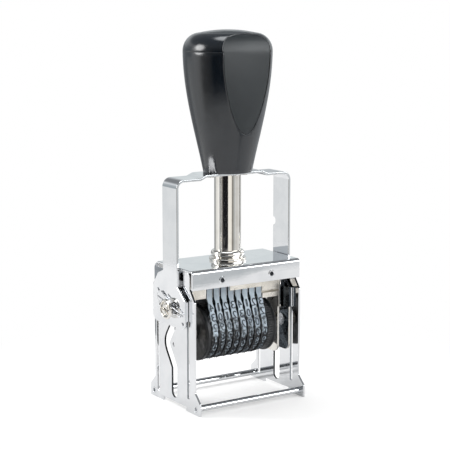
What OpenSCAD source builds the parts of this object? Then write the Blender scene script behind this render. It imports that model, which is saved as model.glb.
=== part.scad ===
/* [Frame] */
// Width over the two side plates
frame_w = 60; // [58:1:72]
// Thickness of the side plates
plate_t = 1; // [0.8:0.1:1.2]
// Depth of a side plate, front to back
plate_d = 36.4; // [34:0.2:42]
// Depth by which a side plate narrows at its upper front
shoulder_d = 4.2; // [3.4:0.2:5]
// Distance from the cover's top face down to where that narrowing is complete
shoulder_drop = 9.1; // [6:0.1:12]
// Radius of the upper corners of a side plate
plate_corner_r = 2.5; // [1:0.5:4]
// Depth over the feet, front to back
foot_d = 45.2; // [43:0.2:56]
// Height of a foot's upright tip
foot_h = 6; // [5:0.5:8]
// Height at which a foot's slope meets the side plate
foot_rise = 10.2; // [8:0.2:14]
// Depth of the arch between a side plate's two feet
arch_d = 20.8; // [14:0.2:26]
// Height of that arch
arch_h = 2; // [1:0.5:3]
// Radius of the two cross rods
rod_r = 1.5; // [1.2:0.1:1.8]
// Distance from a foot's tip to the centre of its cross rod
rod_inset = 3.4; // [3:0.1:4]
// Height of the cross rods' centres
rod_z = 3; // [2.4:0.1:4]

/* [Cover] */
// Thickness of the cover's sheet
cover_t = 1; // [0.8:0.1:1.2]
// Distance from the stem's axis to the cover's front face
cover_front = 17; // [16.6:0.1:18]
// Distance from the stem's axis to the cover's back edge
cover_back = 15.6; // [15.4:0.1:18]
// Free height between the pad tray and the cover
cover_room = 2.3; // [2.2:0.1:4]
// Height of the cover's front flange
cover_flange_h = 9.1; // [8:0.1:10]
// Overhang of the cover past each side plate
cover_over = 0.4; // [0.2:0.1:0.5]
// Outer radius of the cover's folds
fold_r = 1.6; // [1.2:0.1:2]
// Half distance between the cover's two front screws
cover_screw_x = 13.9; // [8:0.1:20]
// Drop of the cover's front screws below its top face
cover_screw_drop = 5.6; // [4:0.1:6]
// Radius of the countersunk head of a cover screw
cover_screw_r = 1.8; // [1.6:0.1:2.2]
// Width of the tray stop's lip
stop_lip_w = 18; // [10:1:30]
// Drop of the tray stop's lip below the cover's flange
stop_lip_h = 2.3; // [1:0.1:3]

/* [Ink pad] */
// Length of the ink pad, left to right
pad_w = 48; // [46:1:49]
// Depth of the ink pad, front to back
pad_d = 22; // [18:1:24]
// Thickness of the ink pad
pad_t = 3.7; // [3:0.1:4]
// Gap between the resting print face and the pad
pad_gap = 0.3; // [0.2:0.1:0.5]
// Thickness of the tray's sheet
tray_t = 0.8; // [0.6:0.1:1]
// Depth of the tray, front to back
tray_d = 28; // [26:0.5:29]

/* [Stem] */
// Outer radius of the stem tube
tube_r = 6.35; // [6:0.05:6.6]
// Wall of the stem tube
tube_wall = 0.8; // [0.6:0.1:1]
// Radius of the collar's flange
collar_r = 8.9; // [8.6:0.1:10]
// Thickness of the collar's flange
collar_flange_t = 2; // [1.5:0.1:2.5]
// Radius of the collar's bead
bead_r = 8; // [7.6:0.1:8.4]
// Height of the collar's bead
bead_h = 3; // [2:0.2:3.4]
// Height of the tube that stays inside the handle at rest
tube_overlap = 6; // [4:1:10]
// Radius of the return spring's wire
spring_wire_r = 0.5; // [0.4:0.05:0.6]
// Number of turns of the return spring
spring_turns = 12; // [8:1:14]

/* [Mechanism] */
// Travel of the plunger from rest to the paper
stroke = 35.5; // [33:0.1:38]
// Distance from the number unit's pivot to the print face
face_r = 12; // [11.6:0.1:12.6]
// Distance from the pivot to each guide pin
cam_arm = 6.6; // [6:0.1:7]
// Radius of the guide pins
cam_r = 2.2; // [1.8:0.1:2.2]
// Clearance around whatever slides in a slot
slot_gap = 0.3; // [0.2:0.1:0.4]
// Height of the lower end of the guide slots
slot_foot_z = 4; // [4:0.5:8]
// Radius of the pivot pins
pivot_r = 2; // [1.6:0.1:2.2]
// Clearance around a turning pin or wheel bore
run_gap = 0.05; // [0.03:0.01:0.08]

/* [Yoke] */
// Width of the yoke's strap
strap_w = 13; // [11:0.5:13]
// Thickness of the yoke's strap
strap_t = 1.2; // [1:0.1:1.6]
// Gap between a side plate and the yoke's leg
yoke_gap = 1; // [0.8:0.1:1.4]
// Free height left between the yoke and the collar on the paper
over_travel = 0.8; // [0.4:0.1:2]
// Rise of the crossbar's middle, under the handle
saddle_rise = 1.4; // [1:0.1:2]
// Width of the raised middle
saddle_w = 31; // [28:1:36]
// Length of the slope at each end of the raised middle
saddle_slope = 3.2; // [2.5:0.1:4]
// Inner radius of the yoke's bends
bend_r = 3; // [2:0.5:5]
// Distance from the pivot down to the lower edge of the yoke's side plates
wing_drop = 8.3; // [7:0.1:9]
// Distance from the pivot up to where the side plates reach their full depth in front
wing_full_rise = 5.7; // [4.6:0.1:6.5]
// Height of the slope above that, where they narrow to the strap
wing_slope_h = 5.6; // [4:0.1:7]
// Distance from the axis to the front guide tab's outer face
front_tab_y = 13.1; // [12.8:0.1:13.4]
// Distance from the axis to the back guide tab's outer face
back_tab_y = 15.9; // [15.4:0.1:16.2]
// Height of a guide tab
tab_h = 9.6; // [8:0.2:10]
// Distance from the pivot down to the lower edge of the guide tabs
tab_drop = 4.2; // [3.5:0.1:5]
// Radius of the notch in the right leg's back edge
notch_r = 2; // [1:0.5:2.5]
// Height of that notch above the cover
notch_rise = 15.2; // [8:0.2:24]

/* [Number unit] */
// Number of bands
band_n = 8; // [6:1:8]
// Distance from one band to the next
band_pitch = 4; // [3.8:0.1:4]
// Width of one band
band_w = 3.2; // [2.8:0.1:3.2]
// Thickness of one band
band_t = 1.1; // [0.9:0.1:1.3]
// Distance from the pivot to the wheels' shaft
wheel_drop = 13.2; // [12.8:0.1:14]
// Radius of the setting wheels' rims
wheel_r = 13.6; // [13.5:0.1:14]
// Radius of the wheels under the bands
core_r = 12.1; // [11.6:0.1:12.2]
// Thickness of a setting wheel's rim
rim_t = 0.6; // [0.5:0.05:0.7]
// Number of grips around a setting wheel's rim
grip_n = 40; // [24:4:60]
// Radius of the wheels' shaft
shaft_r = 2; // [1.6:0.1:2.4]
// Depth of the print head over the bands
head_d = 15.4; // [14:0.2:16]
// Height of the print head's straight sides and top
head_h = 7.9; // [7:0.1:8.4]
// Radius of the print head's upper edges
head_r = 2.2; // [1:0.1:3]
// Offset of the band stack's left end from the axis
stack_x = 17.2; // [16.8:0.1:17.4]
// Width of the left end disc
disc_w = 2.3; // [1.5:0.1:2.6]
// Width of the right end drum
drum_w = 5.2; // [3:0.1:5.6]
// Clear width between the two cheeks
cheek_gap = 50; // [48:0.5:50.4]
// Thickness of a cheek
cheek_t = 1.2; // [1:0.1:1.4]
// Distance from the pivot to a cheek's lower end
cheek_reach = 28; // [26:0.5:28.5]
// Depth of a cheek's lower arm
cheek_arm_d = 12.4; // [8:0.2:14]
// Thickness of a carrier plate
carrier_t = 1.2; // [1:0.1:1.3]
// Gap between a cheek and its carrier plate
carrier_gap = 0.8; // [0.7:0.1:0.9]

/* [Handle] */
// Height of the handle's widest point above its lower end
grip_h = 56.6; // [50:0.2:70]
// Radius of the handle's lower end
grip_low_r = 11.6; // [11.2:0.1:13]
// Radius of the handle at its widest
grip_r = 21.1; // [19.5:0.1:24]
// Height of the crown's shoulder
crown_h = 8.6; // [7:0.1:10]
// Radius of the disc in the crown
disc_r = 13.4; // [12.5:0.1:14]
// Rise of that disc's dome
dome_h = 1.5; // [1:0.1:2.5]
// Wall of the handle
grip_wall = 2.4; // [2:0.1:2.8]
// Distance from the axis to the front facet, at the widest point
facet_y = 16.5; // [15.5:0.1:17.5]
// How much nearer the facet comes to the axis at its lower end
facet_lean = 0.8; // [0:0.1:1.5]
// Thickness of the front panel
panel_t = 1; // [0.8:0.1:1.2]
// Margin of the facet around the front panel
panel_rim = 0.8; // [0.5:0.1:1.2]

/* [Hidden] */

$fn = 64;

chrome = [0.80, 0.82, 0.84];
nickel = [0.74, 0.70, 0.64];
steel = [0.55, 0.56, 0.58];
black_plastic = [0.07, 0.08, 0.09];
panel_grey = [0.22, 0.24, 0.25];
band_rubber = [0.62, 0.68, 0.75];
ink_black = [0.04, 0.04, 0.05];

// Clearance that lets a cut run past the face it opens
cut = 1;
// Small gap between pieces of one body that fit into each other
fit_gap = 0.1;
// Gap between pieces that pass each other
pass_gap = 0.3;

plate_out = frame_w / 2;
plate_in = plate_out - plate_t;
plate_y = plate_d / 2;
foot_y = foot_d / 2;
rod_y = foot_y - rod_inset;
cover_half = plate_out + cover_over;
upper_y = plate_y - shoulder_d;

// The print face lies as far above the pivot at rest as below it on the paper
pivot_z = stroke + face_r;
face_z = pivot_z + face_r;
wheel_z = pivot_z - wheel_drop;

// The pad tray lies over the print face, and the cover over the tray
pad_low = face_z + pad_gap;
tray_low = pad_low + pad_t;
tray_top = tray_low + tray_t;
cover_low = tray_top + cover_room;
frame_h = cover_low + cover_t;
shoulder_z = frame_h - shoulder_drop;
cheek_in = cheek_gap / 2;
cheek_out = cheek_in + cheek_t;
carrier_in = cheek_out + carrier_gap;
carrier_out = carrier_in + carrier_t;

leg_in = plate_out + yoke_gap;
leg_out = leg_in + strap_t;
strap_y = strap_w / 2;
slit_w = strap_t + 2 * slot_gap;

// The crossbar stops just over the collar when the print face is on the paper
collar_top = frame_h + collar_flange_t + bead_h;
yoke_z = collar_top + stroke + over_travel - saddle_rise;
saddle_z = yoke_z + saddle_rise + strap_t;
wing_z = pivot_z - wing_drop;
wing_full_z = pivot_z + wing_full_rise;
wing_slope_z = wing_full_z + wing_slope_h;
tab_z = pivot_z - tab_drop;

rail_t = 0.8;
rail_top = pad_low + 1.4;
rail_in = cheek_out + pass_gap + fit_gap;
tray_wall_out = plate_in - rail_t - fit_gap - pass_gap;
tray_wall_low = rail_top + fit_gap;

bush_r = tube_r - tube_wall;
bush_flange_t = 1.2;
bush_top = collar_top - 0.6;
tube_top = saddle_z + tube_overlap;
seat_z = tube_top + stroke + pass_gap;

crease_z = saddle_z + grip_h;
crown_top = crease_z + crown_h;
disc_t = 2;

//---------------------------------------------------------------- helpers

// A flat shape drawn in Y and Z, with its thickness along X
module sheet_yz(x, t) {
    translate([x, 0, 0])
        rotate([90, 0, 90])
            linear_extrude(t)
                children();
}

// A round bar along X
module bar_x(x, len, y, z, r) {
    translate([x, y, z])
        rotate([0, 90, 0])
            cylinder(h = len, r = r);
}

module mirror_x() {
    mirror([1, 0, 0])
        children();
}

module both_sides() {
    children();
    mirror_x()
        children();
}

// A rectangle from one corner to the other, with round corners
module round_rect(low, high, r) {
    translate([low[0] + r, low[1]])
        square([high[0] - low[0] - 2 * r, high[1] - low[1]]);
    translate([low[0], low[1] + r])
        square([high[0] - low[0], high[1] - low[1] - 2 * r]);
    for (y = [low[0] + r, high[0] - r], z = [low[1] + r, high[1] - r])
        translate([y, z])
            circle(r);
}

// A rectangle whose two upper corners are round
module dome_rect(low, high, r) {
    translate(low)
        square([high[0] - low[0], high[1] - low[1] - r]);
    translate([low[0] + r, low[1]])
        square([high[0] - low[0] - 2 * r, high[1] - low[1]]);
    for (y = [low[0] + r, high[0] - r])
        translate([y, high[1] - r])
            circle(r);
}

//---------------------------------------------------------------- guide slot

// Where a guide pin is when the number unit has turned by a degrees
function pin_path(a) = [
    cam_arm * sin(a),
    pivot_z - stroke * a / 180 - cam_arm * cos(a)
];

// Direction of that path
function pin_way(a) = let (
    v = [cam_arm * cos(a) * PI, cam_arm * sin(a) * PI - stroke]
) v / norm(v);

// Point beside the path, w to its side
function beside(a, w) = pin_path(a) + w * [-pin_way(a)[1], pin_way(a)[0]];

module guide_slot() {
    w = cam_r + slot_gap;
    low = pin_path(180);
    polygon(concat(
        [for (a = [0:10:180]) beside(a, w)],
        [for (a = [180:-10:0]) beside(a, -w)]
    ));
    for (p = [pin_path(0), low, [0, slot_foot_z + w]])
        translate(p)
            circle(w);
    translate([-w, slot_foot_z + w])
        square([2 * w, low[1] - slot_foot_z - w]);
}

//---------------------------------------------------------------- side plates

module plate_outline() {
    polygon([
        [-foot_y, 0],
        [-foot_y, foot_h],
        [-plate_y, foot_rise],
        [-plate_y, shoulder_z - shoulder_d * 1.3],
        [-upper_y, shoulder_z],
        [-upper_y, cover_low - plate_corner_r],
        [-upper_y + plate_corner_r, cover_low],
        [plate_y - plate_corner_r, cover_low],
        [plate_y, cover_low - plate_corner_r],
        [plate_y, foot_rise],
        [foot_y, foot_h],
        [foot_y, 0],
        [arch_d / 2, 0],
        [arch_d / 2, arch_h],
        [-arch_d / 2, arch_h],
        [-arch_d / 2, 0]
    ]);
    for (y = [-upper_y + plate_corner_r, plate_y - plate_corner_r])
        translate([y, cover_low - plate_corner_r])
            circle(plate_corner_r);
}

// The slit that the yoke's front tab runs in, and its wide slanting upper end
module front_slit() {
    outer = -front_tab_y - slot_gap;
    inner = outer + slit_w;
    low = tab_z - stroke - pass_gap - 1.2;
    window_front = -strap_y - 2.1;
    window_back = -strap_y + 1.9;
    window_top = cover_low - 1.6;
    polygon([
        [outer, low],
        [outer, wing_full_z],
        [window_front, wing_slope_z],
        [window_front, window_top],
        [window_back, window_top],
        [window_back, wing_slope_z - 0.8],
        [inner, wing_full_z - 1.6],
        [inner, low]
    ]);
}

module back_slit() {
    low = tab_z - stroke - pass_gap - 4;
    translate([back_tab_y + slot_gap - slit_w, low])
        square([slit_w, tab_z + tab_h + slot_gap - low]);
}

module side_plate() {
    color(chrome)
        sheet_yz(plate_in, plate_t)
            difference() {
                plate_outline();
                guide_slot();
                front_slit();
                back_slit();
                for (y = [-rod_y, rod_y])
                    translate([y, rod_z])
                        circle(rod_r);
            }
}

// Round mark pressed into the outside of each side plate, in front of the guide slot
module marked_side_plate() {
    mark_r = 0.9;
    mark_d = 0.3;
    difference() {
        side_plate();
        bar_x(plate_out - mark_d, mark_d + cut, 0.5, pivot_z - stroke / 2, mark_r);
    }
}

module left_side_plate() {
    mirror_x()
        marked_side_plate();
}

module right_side_plate() {
    marked_side_plate();
}

//---------------------------------------------------------------- cross rods

module cross_rod(y) {
    dimple_r = rod_r * 0.6;
    dimple_d = 1.5;
    color(chrome)
        difference() {
            bar_x(-plate_out, frame_w, y, rod_z, rod_r);
            both_sides()
                bar_x(plate_out - dimple_d, dimple_d + cut, y, rod_z, dimple_r);
        }
}

module front_cross_rod() {
    cross_rod(-rod_y);
}

module back_cross_rod() {
    cross_rod(rod_y);
}

//---------------------------------------------------------------- cover

module cover_profile() {
    difference() {
        union() {
            translate([-cover_front, frame_h - cover_flange_h])
                square([fold_r, cover_flange_h - fold_r]);
            translate([-cover_front + fold_r, frame_h - fold_r])
                square([cover_front + cover_back - 2 * fold_r, fold_r]);
            translate([cover_back - fold_r, tray_top + 0.5])
                square([fold_r, frame_h - fold_r - tray_top - 0.5]);
            for (y = [-cover_front + fold_r, cover_back - fold_r])
                translate([y, frame_h - fold_r])
                    circle(fold_r);
        }
        translate([-cover_front + cover_t, frame_h - cover_flange_h - cut])
            square([cover_front + cover_back - 2 * cover_t, cover_flange_h + cut - cover_t]);
    }
}

module cover() {
    color(chrome)
        difference() {
            sheet_yz(-cover_half, 2 * cover_half)
                cover_profile();
            translate([0, 0, cover_low - cut])
                cylinder(h = cover_t + 2 * cut, r = bush_r);
            for (x = [-cover_screw_x, cover_screw_x])
                translate([x, 0, frame_h - cover_screw_drop])
                    rotate([90, 0, 0])
                        cylinder(h = cover_front + cut, r = cover_screw_r * 0.6);
        }
}

// Flat-headed screws through the cover's front flange into the tray stop
module cover_screws() {
    shank_r = cover_screw_r * 0.6;
    head_t = 0.5;
    slot_d = 0.25;
    len = cover_t + 1.4;
    color(nickel)
        for (x = [-cover_screw_x, cover_screw_x])
            translate([x, -cover_front, frame_h - cover_screw_drop])
                rotate([-90, 0, 0])
                    difference() {
                        union() {
                            translate([0, 0, -head_t])
                                cylinder(h = head_t, r = cover_screw_r);
                            cylinder(h = len, r = shank_r);
                        }
                        translate([-cover_screw_r - cut, -0.2, -head_t - cut])
                            cube([2 * cover_screw_r + 2 * cut, 0.4, slot_d + cut]);
                    }
}

// Bent plate behind the front flange: it stops the pad tray, and its lip shows below the flange
module tray_stop() {
    stop_t = 1;
    low = frame_h - cover_flange_h;
    color(nickel)
        difference() {
            translate([0, -cover_front + cover_t, 0]) {
                translate([-plate_in, 0, low + 0.5])
                    cube([2 * plate_in, stop_t, cover_low - low - 0.5]);
                translate([-stop_lip_w / 2, 0, low - stop_lip_h])
                    cube([stop_lip_w, stop_t, stop_lip_h + cut]);
            }
            for (x = [-cover_screw_x, cover_screw_x])
                translate([x, 0, frame_h - cover_screw_drop])
                    rotate([90, 0, 0])
                        cylinder(h = cover_front, r = cover_screw_r * 0.6);
        }
}

//---------------------------------------------------------------- ink pad

// Angle inside each side plate that the pad tray slides on
module tray_rail() {
    drop = 4;
    len = tray_d;
    color(steel)
        translate([0, -len / 2, 0]) {
            translate([rail_in, 0, rail_top - rail_t])
                cube([plate_in - rail_in, len, rail_t]);
            translate([plate_in - rail_t, 0, rail_top - drop])
                cube([rail_t, len, drop]);
        }
}

module left_tray_rail() {
    mirror_x()
        tray_rail();
}

module right_tray_rail() {
    tray_rail();
}

// Upside-down tray: it holds the pad face down over the print head
module pad_tray() {
    y = tray_d / 2;
    lip_h = 6;
    color(black_plastic) {
        translate([-tray_wall_out, -y, tray_low])
            cube([2 * tray_wall_out, tray_d, tray_t]);
        both_sides()
            translate([tray_wall_out - tray_t, -y, tray_wall_low])
                cube([tray_t, tray_d, tray_low - tray_wall_low]);
        translate([-tray_wall_out, -y, tray_wall_low])
            cube([2 * tray_wall_out, tray_t, tray_low - tray_wall_low]);
        translate([-tray_wall_out, y - tray_t, tray_wall_low])
            cube([2 * tray_wall_out, tray_t, tray_low - tray_wall_low]);
        translate([-pad_w / 4, y - tray_t, tray_top - lip_h])
            cube([pad_w / 2, tray_t, lip_h - tray_t]);
    }
}

module ink_pad() {
    color(ink_black)
        translate([-pad_w / 2, -pad_d / 2, pad_low])
            cube([pad_w, pad_d, pad_t]);
}

//---------------------------------------------------------------- stem

// Plug riveted in the cover: the tube is pressed over it, and the spring stands on it
module stem_bush() {
    color(steel) {
        translate([0, 0, cover_low - bush_flange_t])
            cylinder(h = bush_flange_t, r = bush_r + 2.5);
        translate([0, 0, cover_low])
            cylinder(h = bush_top - cover_low, r = bush_r);
    }
}

module stem_tube() {
    color(nickel)
        difference() {
            translate([0, 0, frame_h])
                cylinder(h = tube_top - frame_h, r = tube_r);
            translate([0, 0, frame_h - cut])
                cylinder(h = tube_top - frame_h + 2 * cut, r = bush_r);
        }
}

// Swaged collar: a flange on the cover with a round bead above it
module stem_collar() {
    edge = 0.4;
    bead_round = bead_h / 2;
    color(nickel)
        translate([0, 0, frame_h])
            rotate_extrude() {
                polygon([
                    [tube_r, 0],
                    [collar_r, 0],
                    [collar_r, collar_flange_t - edge],
                    [collar_r - edge, collar_flange_t],
                    [tube_r, collar_flange_t]
                ]);
                intersection() {
                    translate([bead_r - bead_round, collar_flange_t + bead_round])
                        circle(bead_round);
                    translate([tube_r, collar_flange_t])
                        square([collar_r, bead_h]);
                }
                translate([tube_r, collar_flange_t])
                    square([bead_r - bead_round - tube_r + 0.3, bead_h]);
            }
}

// Sides of the return spring's wire, and steps in one turn
wire_sides = 6;
turn_steps = 14;

module return_spring() {
    coil_r = bush_r - spring_wire_r - pass_gap;
    low = bush_top + spring_wire_r + fit_gap;
    high = seat_z - spring_wire_r - fit_gap;
    steps = spring_turns * turn_steps;
    rings = [
        for (k = [0:steps], s = [0:wire_sides - 1]) let (
            a = 360 * k / turn_steps,
            w = 360 * s / wire_sides,
            r = coil_r + spring_wire_r * cos(w)
        ) [r * cos(a), r * sin(a), low + (high - low) * k / steps + spring_wire_r * sin(w)]
    ];
    walls = [
        for (k = [0:steps - 1], s = [0:wire_sides - 1]) let (
            t = (s + 1) % wire_sides,
            b = k * wire_sides
        ) each [[b + s, b + t, b + wire_sides + t], [b + s, b + wire_sides + t, b + wire_sides + s]]
    ];
    first = [for (s = [wire_sides - 1:-1:0]) s];
    last = [for (s = [0:wire_sides - 1]) steps * wire_sides + s];
    color(steel)
        polyhedron(points = rings, faces = concat(walls, [first], [last]), convexity = 10);
}

//---------------------------------------------------------------- handle

// Side of the handle: a smooth curve from its lower end to its widest point
function side_curve(t) = let (
    u = 1 - t,
    p0 = [grip_low_r, 0],
    p1 = [grip_low_r + 3, grip_h * 0.28],
    p2 = [grip_r - 0.2, grip_h * 0.635],
    p3 = [grip_r, grip_h]
) u * u * u * p0 + 3 * u * u * t * p1 + 3 * u * t * t * p2 + t * t * t * p3;

// Half outline of the handle, made smaller all round by inset, from its base to the crown's top
function grip_outline(inset) = concat(
    [for (k = [0:12]) let (p = side_curve(k / 12)) [p[0] - inset, p[1] + saddle_z]],
    [
        for (a = [10:10:90])
            [disc_r - 0.4 + (grip_r - disc_r + 0.4) * cos(a) - inset,
             crease_z + (crown_h - inset) * sin(a)]
    ]
);

module grip_solid(inset) {
    pts = grip_outline(inset);
    rotate_extrude()
        polygon(concat([[0, saddle_z]], pts, [[0, pts[len(pts) - 1][1]]]));
}

// Everything in front of the handle's front facet, moved back by inset
module facet_cut(inset) {
    far = 2 * grip_r;
    crown_lean = 12;
    low_z = saddle_z - cut;
    top_z = crown_top + cut;
    sheet_yz(-far, 2 * far)
        polygon([
            [-far, low_z],
            [-facet_y + facet_lean + inset, low_z],
            [-facet_y + inset, crease_z],
            [-facet_y + inset + (top_z - crease_z) * tan(crown_lean), top_z],
            [-far, top_z]
        ]);
}

// Slab from one height to another, wide enough to cross the whole handle
module level(low, high) {
    far = 2 * grip_r;
    translate([-far, -far, low])
        cube([2 * far, 2 * far, high - low]);
}

module panel_shape(rim, depth) {
    intersection() {
        grip_solid(rim);
        facet_cut(depth);
    }
}

module panel_pocket() {
    panel_shape(panel_rim - fit_gap, panel_t + fit_gap / 2);
}

// Places of the two screws that hold the yoke to the handle
yoke_screw_x = 9.6;
yoke_screw_r = 1.1;
// Height of the solid foot of the handle, which guides the tube
foot_block_h = 8;
// Length by which the crown's spigot enters the body, and the spigot's wall
spigot_h = 4;
spigot_t = 1.4;
// Sizes of the two vertical grooves in the handle's foot, and their angle from the X axis
groove_w = 3.6;
groove_d = 0.9;
groove_h = 9;
groove_angle = 20;

module handle_body() {
    color(black_plastic)
        difference() {
            intersection() {
                grip_solid(0);
                level(saddle_z, crease_z);
            }
            facet_cut(0);
            panel_pocket();
            difference() {
                intersection() {
                    grip_solid(grip_wall);
                    level(saddle_z + foot_block_h, crease_z + cut);
                }
                facet_cut(panel_t + grip_wall);
            }
            translate([0, 0, saddle_z - cut])
                cylinder(h = foot_block_h + 2 * cut, r = tube_r + pass_gap);
            for (x = [-yoke_screw_x, yoke_screw_x])
                translate([x, 0, saddle_z - cut])
                    cylinder(h = foot_block_h - 1 + cut, r = yoke_screw_r);
            for (a = [-groove_angle, 180 + groove_angle])
                rotate([0, 0, a])
                    translate([grip_low_r - groove_d, -groove_w / 2, saddle_z - cut])
                        cube([grip_r, groove_w, groove_h + cut]);
        }
}

module handle_crown() {
    color(black_plastic) {
        difference() {
            intersection() {
                grip_solid(0);
                level(crease_z, crown_top + cut);
            }
            facet_cut(0);
            panel_pocket();
            difference() {
                intersection() {
                    grip_solid(grip_wall + spigot_t);
                    level(crease_z - cut, crown_top - disc_t - grip_wall);
                }
                facet_cut(panel_t + grip_wall);
            }
            translate([0, 0, crown_top - disc_t])
                cylinder(h = disc_t + cut, r = disc_r + fit_gap);
        }
        difference() {
            translate([0, 0, crease_z - spigot_h])
                cylinder(h = spigot_h, r = grip_r - grip_wall - 3 * fit_gap);
            translate([0, 0, crease_z - spigot_h - cut])
                cylinder(h = spigot_h + 2 * cut, r = grip_r - grip_wall - spigot_t);
            facet_cut(panel_t + grip_wall + 2 * fit_gap);
        }
    }
}

module handle_top_disc() {
    dome_r = (disc_r * disc_r + dome_h * dome_h) / (2 * dome_h);
    half = asin(disc_r / dome_r);
    color(black_plastic)
        translate([0, 0, crown_top - disc_t])
            rotate_extrude()
                polygon(concat(
                    [[0, 0], [disc_r, 0]],
                    [
                        for (k = [0:8]) let (a = half * (1 - k / 8))
                            [dome_r * sin(a), disc_t + dome_h - dome_r * (1 - cos(a))]
                    ]
                ));
}

module handle_front_panel() {
    color(panel_grey)
        difference() {
            panel_shape(panel_rim, panel_t);
            facet_cut(0);
        }
}

// Rod down the middle of the spring, with the head that the spring pushes against
module guide_rod() {
    rod_low = bush_top + stroke + 1;
    head_top = crown_top - disc_t - grip_wall;
    color(steel) {
        translate([0, 0, rod_low])
            cylinder(h = seat_z - rod_low, r = 2);
        translate([0, 0, seat_z])
            cylinder(h = head_top - seat_z, r = bush_r - pass_gap);
    }
}

//---------------------------------------------------------------- yoke

// The space under the strap, made larger all round by g
module under_strap(g) {
    x = leg_in + g;
    z = yoke_z + g;
    r = bend_r + g;
    slope = atan(saddle_rise / saddle_slope);
    wide = saddle_w / 2 + g * tan(slope / 2);
    translate([-x, wing_slope_z])
        square([2 * x, z - r - wing_slope_z]);
    translate([-x + r, wing_slope_z])
        square([2 * (x - r), z - wing_slope_z]);
    for (s = [-1, 1])
        translate([s * (x - r), z - r])
            circle(r);
    polygon([
        [-wide - saddle_slope, z - cut],
        [-wide - saddle_slope, z],
        [-wide, z + saddle_rise],
        [wide, z + saddle_rise],
        [wide + saddle_slope, z],
        [wide + saddle_slope, z - cut]
    ]);
}

// One flat side plate of the yoke, which widens below the strap
module wing_outline() {
    corner = 3.5;
    back_rise = 6.2;
    front_rise = 4;
    difference() {
        union() {
            polygon([
                [-strap_y, wing_slope_z + front_rise],
                [-strap_y, wing_slope_z],
                [-front_tab_y, wing_full_z],
                [-front_tab_y, wing_z + corner],
                [-front_tab_y + corner, wing_z],
                [back_tab_y - corner, wing_z],
                [back_tab_y, wing_z + corner],
                [back_tab_y, wing_slope_z - 0.3 * back_rise],
                [(back_tab_y + strap_y) / 2, wing_slope_z + 0.7 * back_rise],
                [strap_y, wing_slope_z + back_rise]
            ]);
            for (y = [-front_tab_y + corner, back_tab_y - corner])
                translate([y, wing_z + corner])
                    circle(corner);
        }
        translate([0, pivot_z])
            circle(post_r);
        translate([-strap_y - 0.4, pivot_z + 2.4])
            circle(0.9);
        translate([strap_y + 2.5, pivot_z - 0.5])
            square([0.9, 2.6]);
        for (p = rivet_places)
            translate(p)
                circle(rivet_r);
    }
}

// Radius of the outer posts, and of the rivets in the yoke's side plates with their places
post_r = 1.6;
rivet_r = 0.8;
rivet_inset = 2.4;
rivet_back_inset = 4.5;
rivet_places = [
    [-front_tab_y + rivet_inset, wing_z + rivet_inset],
    [back_tab_y - rivet_back_inset, wing_slope_z - rivet_back_inset]
];

module yoke_side() {
    sheet_yz(leg_in, strap_t)
        wing_outline();
    for (y = [-front_tab_y, back_tab_y - strap_t])
        translate([carrier_out, y, tab_z])
            cube([leg_out - carrier_out, strap_t, tab_h]);
}

module yoke() {
    color(chrome)
        difference() {
            union() {
                rotate([90, 0, 0])
                    translate([0, 0, -strap_y])
                        linear_extrude(strap_w)
                            difference() {
                                under_strap(strap_t);
                                under_strap(0);
                            }
                both_sides()
                    yoke_side();
            }
            translate([0, 0, yoke_z - cut])
                cylinder(h = strap_t + saddle_rise + 2 * cut, r = tube_r + 2 * run_gap);
            for (x = [-yoke_screw_x, yoke_screw_x])
                translate([x, 0, yoke_z - cut])
                    cylinder(h = strap_t + saddle_rise + 2 * cut, r = yoke_screw_r);
            bar_x(leg_in - cut, strap_t + 2 * cut, strap_y, frame_h + notch_rise, notch_r);
        }
}

// Screws up through the crossbar into the handle
module yoke_screws() {
    under = yoke_z + saddle_rise;
    head_h = 1;
    color(nickel)
        for (x = [-yoke_screw_x, yoke_screw_x])
            translate([x, 0, 0]) {
                translate([0, 0, under])
                    cylinder(h = strap_t + foot_block_h - 2, r = yoke_screw_r);
                translate([0, 0, under - head_h])
                    cylinder(h = head_h, r = yoke_screw_r + 0.5);
            }
}

module yoke_rivets() {
    head_t = 0.4;
    color(steel)
        both_sides()
            for (p = rivet_places) {
                bar_x(leg_in, strap_t, p[0], p[1], rivet_r);
                bar_x(leg_out, head_t, p[0], p[1], rivet_r + 0.4);
            }
}

// Inner plate that the yoke's front tab carries: it holds the number unit's pivot
module carrier() {
    eye_r = pivot_r + 1.4;
    tab_w = 4.6;
    color(nickel)
        sheet_yz(carrier_in, carrier_t)
            difference() {
                union() {
                    translate([-front_tab_y, tab_z])
                        square([tab_w, tab_h]);
                    translate([-front_tab_y, pivot_z - eye_r])
                        square([front_tab_y, 2 * eye_r]);
                    translate([0, pivot_z])
                        circle(eye_r);
                }
                translate([0, pivot_z])
                    circle(pivot_r);
            }
}

module left_carrier() {
    mirror_x()
        carrier();
}

module right_carrier() {
    carrier();
}

// Pins fixed in the carriers, with flat heads; the cheeks turn on them
module pivot_pins() {
    head_r = pivot_r + 0.8;
    inner_gap = 0.2;
    inner_head = 0.6;
    outer_head = 0.5;
    color(nickel)
        both_sides() {
            bar_x(cheek_in - inner_gap, carrier_out - cheek_in + inner_gap, 0, pivot_z, pivot_r);
            bar_x(cheek_in - inner_gap - inner_head, inner_head, 0, pivot_z, head_r);
            bar_x(carrier_out, outer_head, 0, pivot_z, head_r);
        }
}

// Post outside each side plate of the yoke, with the washer head that keeps its spring on
post_len = 2.6;
post_head_r = 2.9;

module spring_posts() {
    head_t = 0.6;
    color(nickel)
        both_sides() {
            bar_x(leg_in, strap_t + post_len, 0, pivot_z, post_r);
            bar_x(leg_out + post_len, head_t, 0, pivot_z, post_head_r);
        }
}

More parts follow.
